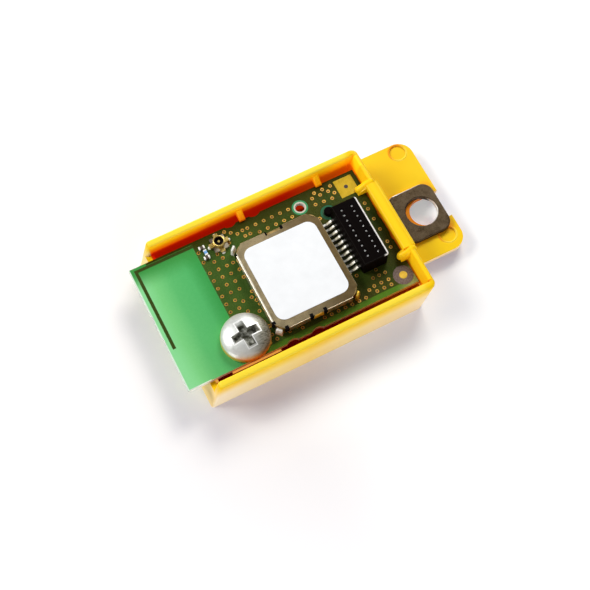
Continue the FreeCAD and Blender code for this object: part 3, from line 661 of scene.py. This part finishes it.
# %% Screw zinc
screw_low, screw_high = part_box("mounting_screw")
middle = (screw_low + screw_high) / 2 / MM
screw_top = screw_high.z / MM
zinc = rolled_metal("screw_zinc", (0.66, 0.67, 0.63), (0.82, 0.83, 0.80), 0.42, (3.0, 3.0, 3.0), 0.002, metal=0.55)
x, y, z = zinc.axes()
SHADE_X, SHADE_Y = 0.95, 0.30
side = minus(times(x, SHADE_X), times(y, SHADE_Y))
centre = middle.x * SHADE_X - middle.y * SHADE_Y
scratches = zinc.noise(1.0, 3.0, vector=zinc.stretched(1.2, 5.0, 5.0))
# painted shade on one side of the head
shaded_side = ramp(scratches, [(0.35, (0.11, 0.10, 0.06)), (0.65, (0.34, 0.32, 0.25))])
shade = mix(rise(side, centre - 0.3, centre + 3.0), zinc.shade, shaded_side)
reach = zinc.distance(middle.x, middle.y)
steep = rise(zinc.turned(), 0.55, 0.8)
cross = fall(reach, 2.45, 2.65)
# painted shade in the recess of the cross, with painted glints
sunk = times(cross, fall(z, screw_top - 1.3, screw_top - 0.7))
painted_glints = zinc.noise(1.1, 2.0)
recess_floor_shade = ramp(painted_glints, [(0.38, (0.09, 0.09, 0.06)), (0.50, (0.40, 0.40, 0.34)),
                           (0.62, (0.80, 0.80, 0.74))])
shade = mix(sunk, shade, recess_floor_shade)
recess_wall_shade = ramp(painted_glints, [(0.42, (0.07, 0.065, 0.045)), (0.60, (0.42, 0.42, 0.36))])
shade = mix(times(steep, cross), shade, recess_wall_shade)
print("screw is %.1f mm across" % ((screw_high.x - screw_low.x) / MM))

# %% [markdown]
# The edges of the cross get a painted highlight line. The cross is two bars, so a point lies on an edge when its
# shorter distance from the middle is half a bar's width, or its longer one is half a bar's length.

# %% Bright edges of the cross
CROSS_TURN = math.radians(4)
SPAN, BAR = 4.9, 1.45
from_x = minus(x, middle.x)
from_y = minus(y, middle.y)
cosine, sine = math.cos(CROSS_TURN), math.sin(CROSS_TURN)
bar_along = magnitude(plus(times(from_x, cosine), times(from_y, sine)))
bar_over = magnitude(minus(times(from_y, cosine), times(from_x, sine)))
longer = either(bar_along, bar_over)
shorter = maths("MINIMUM", bar_along, bar_over)
sides = times(band(shorter, BAR / 2 - 0.03, BAR / 2 + 0.13, 0.05), fall(longer, SPAN / 2 + 0.05, SPAN / 2 + 0.15))
ends = times(band(longer, SPAN / 2 - 0.06, SPAN / 2 + 0.10, 0.05), fall(shorter, BAR / 2 + 0.05, BAR / 2 + 0.15))
# painted highlight along the edges of the cross
lit_edge = times(either(sides, ends), rise(z, screw_top - 0.75, screw_top - 0.45))
shade = mix(lit_edge, shade, (0.98, 0.98, 0.95))
# painted reflection of the yellow tray on the low side of the head
tray_reflection = times(fall(z, FACE + 0.8, FACE + 1.2), rise(reach, 3.2, 3.6))
zinc.colour(mix(tray_reflection, shade, (0.95, 0.62, 0.13)))
print("cross is %.1f mm wide" % SPAN)

# %% [markdown]
# The plate is dark rolled steel, and only the cut sides that face the bare end and the rear get a painted
# highlight, with a thin painted line of light along the rear edge of its top.

# %% Plate steel
steel = rolled_metal("plate_steel", (0.026, 0.016, 0.007), (0.120, 0.086, 0.052), 0.45, (4.5, 4.5, 4.5), 0.010)
# painted highlight on the cut sides that face the bare end and the rear, and a painted line along the rear edge
edge_highlight = rise(steel.facing(-0.8, 0.6, 0.0), 0.15, 0.5)
x, y, z = steel.axes()
line = times(rise(y, plate_high.y - 0.20, plate_high.y - 0.10),
             rise(x, plate_low.x + 1.0, plate_high.x - 1.5, 1.0, 0.2))
edge_highlight = either(edge_highlight, line)
steel.colour(mix(edge_highlight, steel.shade, (0.85, 0.82, 0.76)))
print("plate is %.2f mm thick" % (plate_high.z - plate_low.z))

# %% [markdown]
# The header is black nylon, nearly matt, with a painted highlight on its far edge and near corner and a thin
# painted line of light on the near edges. The label is bare white film, and the socket's foot and the chips are
# moulded or fired, with a little grain each.


# %% Helper for plastics and ceramics
def moulded(name, low, high, rough, scale=4.0, grain=0.006):
    """Moulded or fired surface with two close colours."""
    finish = Finish(name, high, rough)
    grit = finish.noise(scale, 4.0)
    finish.colour(ramp(grit, [(0.35, low), (0.65, high)]))
    finish.roughness(grit, rough * 0.85, rough * 1.15)
    finish.bump(grit, grain)
    return finish


print("plastic helper ready")

# %% Header nylon
nylon = moulded("header_nylon", (0.0022, 0.0014, 0.0014), (0.005, 0.0035, 0.0035), 0.45)
nylon.set("Specular IOR Level", 0.02)
header_low, header_high = corners("header_housing")
x, y, z = nylon.axes()
# painted highlight on the far edge and the near corner, patchy
edge_highlight = rise(x, header_high.x - 0.33, header_high.x - 0.24)
corner = times(fall(y, header_low.y + 0.10, header_low.y + 0.25), rise(x, header_high.x - 1.0, header_high.x - 0.5))
edge_highlight = either(edge_highlight, corner)
edge_highlight = times(edge_highlight, rise(nylon.noise(2.0, 2.0), 0.25, 0.45, 0.5, 1.0))
edge_highlight = times(edge_highlight, rise(z, header_high.z - 0.34, header_high.z - 0.24))
# painted thin line of light on the near edges
edge_x = fall(x, header_low.x + 0.08, header_low.x + 0.16)
edge_y = fall(y, header_low.y + 0.08, header_low.y + 0.16)
near_edge_light = times(either(edge_x, edge_y), rise(z, header_high.z - 0.10, header_high.z - 0.04))
black = mix(near_edge_light, (0.0030, 0.0016, 0.0014), (0.14, 0.13, 0.11))
nylon.colour(mix(edge_highlight, black, (0.88, 0.86, 0.82)))
print("header is %.1f mm high" % (header_high.z - header_low.z))

# %% Other plastics and ceramics
# painted shade for the dark gaps of the shield
gap_shade = moulded("gap_shade", (0.0015, 0.001, 0.001), (0.004, 0.003, 0.003), 0.6)
gap_shade.set("Specular IOR Level", 0.05)
# painted shade for the inside of holes
barrel_shade = moulded("barrel_shade", (0.020, 0.006, 0.002), (0.045, 0.015, 0.005), 0.5)
test_pad = moulded("test_pad", (0.095, 0.055, 0.038), (0.19, 0.125, 0.095), 0.45, 4.0)
label_film = moulded("label_film", (0.875, 0.885, 0.895), (0.91, 0.92, 0.93), 0.5, 0.5, 0.002)
foot_plastic = moulded("foot_plastic", (0.40, 0.34, 0.24), (0.58, 0.52, 0.40), 0.5)
foot_low, foot_high = corners("coax_base")
foot_middle = (foot_low + foot_high) / 2
# painted shade in the hollow of the socket's foot
well_shade = fall(foot_plastic.distance(foot_middle.x, foot_middle.y), 0.95, 1.05)
x, y, z = foot_plastic.axes()
start = foot_low.x - foot_low.y
# painted shading: the foot is dark on one side and light on the other
lean = rise(minus(x, y), start - 0.6, start + 0.8)
outside = mix(lean, (0.070, 0.045, 0.030), (0.52, 0.46, 0.35))
foot_plastic.colour(mix(well_shade, outside, (0.020, 0.010, 0.006)))
chip_brown = moulded("chip_brown", (0.05, 0.035, 0.02), (0.10, 0.07, 0.045), 0.45)
chip_blue = moulded("chip_blue", (0.10, 0.30, 0.62), (0.22, 0.45, 0.80), 0.4)
package_resin = moulded("package_resin", (0.02, 0.02, 0.02), (0.04, 0.04, 0.04), 0.5)
print("plastics ready")

# %% Dress the CAD nodes
for name, finish in (
        ("carrier_tray", tray), ("circuit_board", board), ("shield_frame", frame_sheet), ("shield_lid", lid_sheet),
        ("blank_label", label_film), ("header_housing", nylon), ("header_contacts", pin_tip),
        ("header_leads", lead_tin), ("coax_base", foot_plastic), ("coax_shell", shell_gold),
        ("coax_pin", contact_gold), ("chip_capacitor", chip_brown), ("chip_inductor", chip_blue),
        ("chip_resistor", chip_brown), ("radio_chip", package_resin), ("memory_chip", package_resin),
        ("crystal_chip", frame_sheet), ("mounting_screw", zinc), ("fixing_plate", steel)):
    nodes[name].data.materials.clear()
    nodes[name].data.materials.append(finish.material)
print("dressed", len(nodes), "nodes")

# %% [markdown]
# ## Modelling helpers
# New pieces start as a primitive at its size and place and are shaped in edit mode. An operator acts on all
# that is selected, so each piece starts by deselecting everything, and parts of it are picked by their place.


# %% Helpers for primitives and picking
def begin(operator, where=(0, 0, 0), **settings):
    """Add a primitive with nothing else selected and put its place into its mesh."""
    bpy.ops.object.select_all(action="DESELECT")
    operator(location=where, **settings)
    bpy.ops.object.transform_apply(location=True, rotation=True, scale=True)
    return bpy.context.object


def pick(piece, kind, test):
    """Enter edit mode with the faces or vertices whose middle passes a test selected."""
    bpy.ops.object.mode_set(mode="EDIT")
    bpy.ops.mesh.select_mode(type=kind)
    bpy.ops.mesh.select_all(action="DESELECT")
    bpy.ops.object.mode_set(mode="OBJECT")
    if kind == "FACE":
        for face in piece.data.polygons:
            face.select = test(face.center, face.normal)
    else:
        for vertex in piece.data.vertices:
            vertex.select = test(vertex.co)
    bpy.ops.object.mode_set(mode="EDIT")


def leave():
    bpy.ops.object.mode_set(mode="OBJECT")


print("picking ready")


# %% Helpers for sizes in millimetres
def block(where, x, y, z):
    """Cube primitive of a size in millimetres."""
    return begin(bpy.ops.mesh.primitive_cube_add, where, size=1.0, scale=(x * MM, y * MM, z * MM))


def disc(where, vertices, radius, depth, **settings):
    """Cylinder primitive of a size in millimetres."""
    return begin(bpy.ops.mesh.primitive_cylinder_add, where, vertices=vertices, radius=radius * MM, depth=depth * MM,
                 **settings)


def step_top(piece, inset, height):
    """Inset the top face and raise, or with a minus sink, the inner face."""
    pick(piece, "FACE", lambda middle, normal: normal.z > 0.9)
    bpy.ops.mesh.inset(thickness=inset * MM)
    bpy.ops.mesh.extrude_region_move(TRANSFORM_OT_translate={"value": (0, 0, height * MM)})
    leave()


def narrow(piece, upwards, share_x, share_y, centre):
    """Narrow the top face, or with minus one the bottom face, about a centre."""
    pick(piece, "FACE", lambda middle, normal: normal.z * upwards > 0.9)
    bpy.ops.transform.resize(value=(share_x, share_y, 1.0), center_override=tuple(centre))
    leave()


print("steps ready")


# %% Helpers for modifiers and smoothing
def finish_with(piece, kind, **settings):
    """Add one modifier and apply it."""
    modifier = piece.modifiers.new(kind.lower(), kind)
    for key, value in settings.items():
        setattr(modifier, key, value)
    bpy.context.view_layer.objects.active = piece
    bpy.ops.object.modifier_apply(modifier=modifier.name)


def bevel(piece, width, segments=3, **settings):
    finish_with(piece, "BEVEL", width=width * MM, segments=segments, **settings)


def choose(*pieces):
    """Select pieces and nothing else, the first as the active one."""
    bpy.ops.object.select_all(action="DESELECT")
    for piece in pieces:
        piece.select_set(True)
    bpy.context.view_layer.objects.active = pieces[0]


def smooth(piece, angle=40):
    choose(piece)
    bpy.ops.object.shade_smooth_by_angle(angle=math.radians(angle))


print("modifiers ready")


# %% Helpers for finished pieces
def coat(piece, finishes):
    """Give a piece its finishes, in the order of its face numbers."""
    for finish in finishes:
        piece.data.materials.append(finish.material)


def hand_over(piece, name, finishes):
    """Name a piece, give it its finishes and let it ride on the frame."""
    piece.name = name
    piece.data.name = name
    if not piece.data.materials:
        coat(piece, finishes)
    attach(piece, "root")
    print(name, len(piece.data.polygons), "faces")
    return piece


def copies(model, moves):
    """Copy a model by each move, each copy with its own mesh, and join them all."""
    made = []
    for move in moves:
        other = model.copy()
        other.data = model.data.copy()
        other.data.transform(Matrix.Translation(move) if isinstance(move, Vector) else move)
        scene.collection.objects.link(other)
        made.append(other)
    bpy.data.objects.remove(model)
    choose(*made)
    bpy.ops.object.join()
    return bpy.context.object


print("pieces can be handed over")

# %% [markdown]
# ## Plated holes
# Small plated holes tie the copper planes together. Each one is a thin gold ring around a hole whose shade is
# painted dark. One ring is modelled: a low disc whose top is inset, and the inner face sinks and takes a dark
# finish that paints the shade inside the hole. The ring is then copied along rows, and a row is a start, a step
# and a count.

# %% Plated holes in rows
VIA_RADIUS, VIA_RING = 0.31, 0.155
via = disc(spot(0, 0, 0.01), 14, VIA_RADIUS, 0.05)
coat(via, [via_gold, barrel_shade])
step_top(via, VIA_RING, -0.03)
floor_level = spot(0, 0, 0.02).z
for face in via.data.polygons:
    face.material_index = 1 if face.normal.z > 0.9 and face.center.z < floor_level else 0
ROWS = (
    # left block, in columns
    (11.55, 8.9, 0, 1.52, 6), (11.45, 18.65, 0, 1.9, 2),
    (13.1, 8.9, 0, 1.52, 6), (13.05, 18.0, 0, 0, 1),
    (14.6, 11.9, 0, 1.52, 4), (14.6, 18.0, -0.5, 1.0, 2), (14.2, 9.7, 1.5, 0, 2),
    (16.1, 13.45, 0, 1.52, 2), (15.7, 16.5, -0.4, 2.5, 2), (16.2, 8.9, 0, 1.7, 2),
    (16.4, 8.1, -0.65, -1.1, 2), (16.05, 4.0, -0.3, -1.5, 2), (16.15, 1.5, -1.3, -0.1, 2), (14.1, 7.8, 0, 0, 1),
    # along the rear edge
    (16.8, 22.1, 0.9, -0.65, 3), (19.6, 21.0, 0, -1.1, 2), (20.5, 21.0, 0, -1.1, 2), (22.0, 21.0, 1.5, 0, 5),
    (22.0, 19.5, 1.5, 0, 5), (16.65, 19.9, 0, 0, 1),
    # behind the header
    (33.2, 21.75, 1.5, 0, 3), (32.45, 21.0, 1.5, 0, 3), (32.45, 19.75, 1.5, -0.1, 3), (36.25, 20.3, 0, 0, 1),
    (31.9, 17.15, 0, 0, 1),
    # beside the header
    (39.8, 16.3, 0, -1.15, 2), (39.8, 13.1, 0, -2.1, 2), (39.8, 8.5, 0, -1.15, 2),
    # front right and along the front edge
    (32.45, 5.4, 0, 0, 1), (34.6, 3.8, 1.1, 0, 3), (35.7, 4.9, 0, 0, 1), (34.1, 2.5, 1.3, 0, 3),
    (34.1, 1.5, 1.3, 0, 3), (33.05, 2.25, 0, 0, 1), (24.5, 1.3, 1.245, 0, 7), (18.5, 1.75, 1.4, 0.15, 2),
    (20.6, 1.35, 0, 0, 1),
)
vias = copies(via, [Vector(((first_x + number * step_x) * MM, (first_y + number * step_y) * MM, 0))
                    for first_x, first_y, step_x, step_y, count in ROWS for number in range(count)])
hand_over(vias, "plated_holes", ())

# %% [markdown]
# Two bare pads sit near the end wall: a square gold one with a hole painted dark as shade, and a dull round one
# with a gold dot. They are low plates with bevelled edges.

# %% Bare pads
PAD_LEFT, PAD_RIGHT, PAD_LOW, PAD_HIGH = 36.9, 40.2, 18.75, 22.2
pad = block(spot((PAD_LEFT + PAD_RIGHT) / 2, (PAD_LOW + PAD_HIGH) / 2, 0.01),
            PAD_RIGHT - PAD_LEFT, PAD_HIGH - PAD_LOW, 0.06)
bevel(pad, 0.02, 1)
hand_over(pad, "square_pad", [pad_gold])

PROBE, PROBE_SIDES = (39.2, 2.1), 16
probe = disc(spot(*PROBE), PROBE_SIDES, 1.7, 0.06, rotation=(0, 0, math.radians(180 / PROBE_SIDES)))
bevel(probe, 0.02, 1, limit_method="ANGLE")
hand_over(probe, "probe_pad", [test_pad])

dot = disc(spot(*PROBE, 0.04), 28, 0.66, 0.05)
step_top(dot, 0.36, -0.03)
hand_over(dot, "probe_dot", [dot_gold])

PAD_HOLE = (38.5, 20.45)
plug = disc(spot(*PAD_HOLE, 0.055), 24, 0.34, 0.03)
step_top(plug, 0.12, -0.01)
hand_over(plug, "pad_hole", [barrel_shade])

# %% [markdown]
# ## Screw
# The pan head is bright and smooth, with a deep cross recess whose walls slope. The dome grows from a short
# cylinder: its top face is extruded and narrowed step by step, and it stops short of a quarter turn, so a flat
# face is left at the top. Two tapered bars make the cross, and a boolean modifier cuts it out. A narrow bevel
# rounds every edge, so that each catches a line of light.

# %% Dome of the screw
axis = Vector(((screw_low.x + screw_high.x) / 2, (screw_low.y + screw_high.y) / 2, board_high.z))
HEAD_RADIUS = (screw_high.x - screw_low.x) / 2
HEAD_HEIGHT = screw_high.z - board_high.z
SIDE = 0.7 * MM
STEPS, DOME_SHARE = 9, 0.93
DOME_ANGLE = math.radians(90 * DOME_SHARE)
head = disc(axis + Vector((0, 0, SIDE / 2)), 96, HEAD_RADIUS / MM, SIDE / MM)
previous = 1.0
for number in range(1, STEPS + 1):
    angle = DOME_ANGLE * number / STEPS
    share = math.cos(angle)
    top = SIDE + (HEAD_HEIGHT - SIDE) * math.sin(angle) / math.sin(DOME_ANGLE)
    pick(head, "FACE", lambda middle, normal: normal.z > 0.99)
    level_now = max(v.co.z for v in head.data.vertices)
    bpy.ops.mesh.extrude_region_move(TRANSFORM_OT_translate={"value": (0, 0, axis.z + top - level_now)})
    bpy.ops.transform.resize(value=(share / previous, share / previous, 1.0), center_override=tuple(axis))
    leave()
    previous = share
print("head is %.2f mm high" % (HEAD_HEIGHT / MM))

# %% Cross recess
DEPTH, ABOVE = 1.5, 0.3
cutters = []
for number in range(2):
    bar = block(axis + Vector((0, 0, HEAD_HEIGHT + (ABOVE - DEPTH) / 2 * MM)), SPAN, BAR, DEPTH + ABOVE)
    narrow(bar, -1, 0.70, 0.72, axis)
    bar.data.transform(Matrix.Translation(axis) @ Matrix.Rotation(CROSS_TURN + math.radians(90 * number), 4, "Z")
                       @ Matrix.Translation(-axis))
    cutters.append(bar)
for bar in cutters:
    finish_with(head, "BOOLEAN", operation="DIFFERENCE", object=bar, solver="EXACT")
    bpy.data.objects.remove(bar)
bevel(head, 0.14, limit_method="ANGLE", angle_limit=math.radians(32))
smooth(head, 40)
print("recess is %.1f mm deep" % DEPTH)

# %% Shank of the screw
SHANK_RADIUS, POINT_SHARE = 1.78, 0.55
shank_middle = (axis.x, axis.y, (screw_low.z + board_high.z) / 2)
shank = disc(shank_middle, 32, SHANK_RADIUS, (board_high.z - screw_low.z) / MM)
pick(shank, "FACE", lambda middle, normal: normal.z < -0.9)
bpy.ops.mesh.extrude_region_move(TRANSFORM_OT_translate={"value": (0, 0, 0)})
bpy.ops.transform.resize(value=(POINT_SHARE, POINT_SHARE, 1.0), center_override=(axis.x, axis.y, screw_low.z))
leave()
bevel(shank, 0.05, 1, limit_method="ANGLE")
choose(head, shank)
bpy.ops.object.join()
hand_over(head, "pan_head_screw", [zinc])
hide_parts("mounting_screw")

# %% [markdown]
# ## Solder and chip ends
# The small chips have tinned ends that are wider than their bodies. An end is a bevelled cap around the body's
# end. The header's leads end in beads of solder, and a bead is the upper part of a flattened ball.

# %% Tinned chip ends
END, GROW = 0.26, 0.03
for name, along_x in (("chip_capacitor", True), ("chip_inductor", False), ("chip_resistor", True)):
    low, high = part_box(name)
    middle = (low + high) / 2 * Vector((1, 1, 0))
    long_side = (high.x - low.x) if along_x else (high.y - low.y)
    wide = (high.y - low.y) if along_x else (high.x - low.x)
    tall = (high.z - low.z) / MM + GROW
    size = (END, wide / MM + GROW) if along_x else (wide / MM + GROW, END)
    cap = block((0, 0, low.z + tall / 2 * MM), *size, tall)
    bevel(cap, 0.05)
    reach = (long_side + (GROW - END) * MM) / 2
    step = Vector((reach * along_x, reach * (not along_x), 0))
    caps = copies(cap, [middle - step, middle + step])
    smooth(caps)
    hand_over(caps, name + "_ends", [solder])


# %% Solder beads
def beads(name, places, size, finish):
    """Flattened beads of solder centred on the board's face."""
    bead = begin(bpy.ops.mesh.primitive_uv_sphere_add, (0, 0, 0), segments=16, ring_count=8, radius=0.5)
    pick(bead, "VERT", lambda middle: middle.z < -0.2)
    bpy.ops.mesh.delete(type="VERT")
    pick(bead, "VERT", lambda middle: True)
    bpy.ops.transform.resize(value=tuple(Vector(size) * MM), center_override=(0, 0, 0))
    bpy.ops.mesh.select_all(action="DESELECT")
    bpy.ops.mesh.select_non_manifold()
    bpy.ops.mesh.edge_face_add()
    leave()
    all_beads = copies(bead, places)
    smooth(all_beads, 60)
    return hand_over(all_beads, name, [finish])


first_toe = Vector((lead_low.x + 0.12 * MM, lead_low.y + LEAD_WIDTH / 2 * MM, board_high.z))
toes = [first_toe + Vector((0, PITCH * number, 0)) for number in range(LEADS)]
beads("lead_solder", toes, (0.75, 0.62, 0.30), solder)

# %% [markdown]
# ## Marks on the shield
# The lid is folded, and where its flaps end there are small gaps that look dark: beside the recessed tab at the
# rear, beside the tab at the front and at both corners of its near end. Each gap is a small dark block sunk in
# the sheet, painted shade for the shadow inside the gap. The front tab is gold, and a soldered foot of the frame
# shows at three of its corners.

# %% Gaps of the shield
def on_lid(x, y, z=0.0):
    """Place of a point in millimetres from the lid's front left corner and above its top."""
    return Vector((lid_low.x + x * MM, lid_low.y + y * MM, lid_high.z + z * MM))


LID_WIDTH = (lid_high.y - lid_low.y) / MM
LID_HEIGHT = (lid_high.z - board_high.z) / MM
GAPS = (
    # middle x, middle y, length, width, height
    (6.02, LID_WIDTH - 0.34, 0.30, 0.66, 0.3),
    (8.83, LID_WIDTH - 0.34, 0.45, 0.66, 0.3),
    (6.10, 0.24, 0.62, 0.68, 0.9),
    (8.55, 0.24, 0.62, 0.68, 0.9),
    (0.22, 1.72, 0.64, 0.66, 1.2),
    (1.78, 0.20, 0.66, 0.64, 1.2),
    (0.10, LID_WIDTH - 1.60, 0.40, 0.40, 1.2),
)
gap = begin(bpy.ops.mesh.primitive_cube_add, (0, 0, 0), size=MM)
bevel(gap, 0.12)
gaps = copies(gap, [Matrix.Translation(on_lid(middle_x, middle_y, 0.02 - tall / 2))
                    @ Matrix.Diagonal((long, wide, tall, 1.0)) for middle_x, middle_y, long, wide, tall in GAPS])
smooth(gaps)
hand_over(gaps, "shield_gap_shades", [gap_shade])

# %% Front tab of the shield
TAB_MIDDLE = 7.33
tab = block(on_lid(TAB_MIDDLE, 0.08, -0.60), 1.85, 0.50, 0.9)
narrow(tab, 1, 0.8, 0.6, on_lid(TAB_MIDDLE, 0.12))
bevel(tab, 0.08)
smooth(tab)
hand_over(tab, "shield_front_tab", [dot_gold])


# %% Soldered feet of the frame
def corner_tab(name, x, y, turn, finish):
    """Soldered foot of the frame at a place on the board, beside a corner of the lid."""
    tall = LID_HEIGHT * FOOT_SHARE
    foot = block((0, 0, 0), 1.25, 0.60, tall)
    narrow(foot, 1, 0.80, 0.65, (0, 0.2 * MM, 0))
    bevel(foot, 0.10)
    foot.data.transform(Matrix.Translation(spot(x, y, tall / 2)) @ Matrix.Rotation(math.radians(turn), 4, "Z"))
    smooth(foot)
    hand_over(foot, name, [finish])


FOOT_SHARE = 0.8
corner_tab("front_corner_foot", 16.82, 2.12, -45, solder)
corner_tab("rear_corner_foot", 16.58, 18.08, 45, solder)
corner_tab("far_corner_foot", 30.78, 1.95, 45, dot_gold)

# %% [markdown]
# ## Small things on the board
# The socket's legs end in solder, and its ring has a bright lip. The header has a locating post that fills the
# hole beside it.

# %% Solder and lip of the socket, and header post
REACH = (coax_high.x - coax_low.x) / 2
coax_places = [Vector((coax_middle.x + side_x * REACH, coax_middle.y + side_y * REACH, board_high.z))
               for side_x, side_y in ((-1, 0), (1, 0), (0, -1), (0, 1))]
beads("socket_solder", coax_places, (0.62, 0.62, 0.40), solder)

LIP_RADIUS, LIP_ROUND = 0.89, 0.12
lip_place = (coax_middle.x, coax_middle.y, coax_high.z - 0.10 * MM)
lip = begin(bpy.ops.mesh.primitive_torus_add, lip_place, major_segments=48, minor_segments=10,
            major_radius=LIP_RADIUS * MM, minor_radius=LIP_ROUND * MM)
smooth(lip, 60)
hand_over(lip, "socket_lip", [contact_gold])

post = disc(spot(*GUIDE, 0.1), 32, 0.78, 0.9)
step_top(post, 0.15, 0.12)
smooth(post)
hand_over(post, "header_post", [nylon])

# %% [markdown]
# The hooks of the end wall are rounder than plain blocks, so a round ridge lies over each: a ball is pulled out
# into a rod and tilted. The round marks of the moulding on the flange have a soft raised rim.

# %% Hook ridges
HOOK_PLACES = ((39.85, 18.6), (40.15, 4.9))
RIDGE_RADIUS, RIDGE_LENGTH, RIDGE_RISE, RIDGE_TILT = 0.60, 2.45, 0.70, 63
ridge = begin(bpy.ops.mesh.primitive_uv_sphere_add, (0, 0, 0), segments=24, ring_count=12, radius=RIDGE_RADIUS * MM)
pick(ridge, "VERT", lambda middle: middle.z > 0.01 * MM)
bpy.ops.transform.translate(value=(0, 0, RIDGE_LENGTH * MM))
leave()
tilt = Matrix.Rotation(math.radians(RIDGE_TILT), 4, "Y")
ridges = copies(ridge, [Matrix.Translation(spot(*place, RIDGE_RISE)) @ tilt for place in HOOK_PLACES])
smooth(ridges, 60)
hand_over(ridges, "hook_ridges", [tray])

# %% Rims of the flange marks
FLANGE_TOP, RIM_ROUND, RIM_SINK = 2.2, 0.16, 0.07
ring = begin(bpy.ops.mesh.primitive_torus_add, (0, 0, FLANGE_TOP * MM), major_segments=64, minor_segments=12,
             major_radius=MARK_RADIUS * MM, minor_radius=RIM_ROUND * MM)
rings = copies(ring, [Vector((board_low.x + mark_x * MM, board_low.y + mark_y * MM, -RIM_SINK * MM))
                      for mark_x, mark_y in MARKS])
smooth(rings, 60)
hand_over(rings, "flange_mark_rims", [tray])
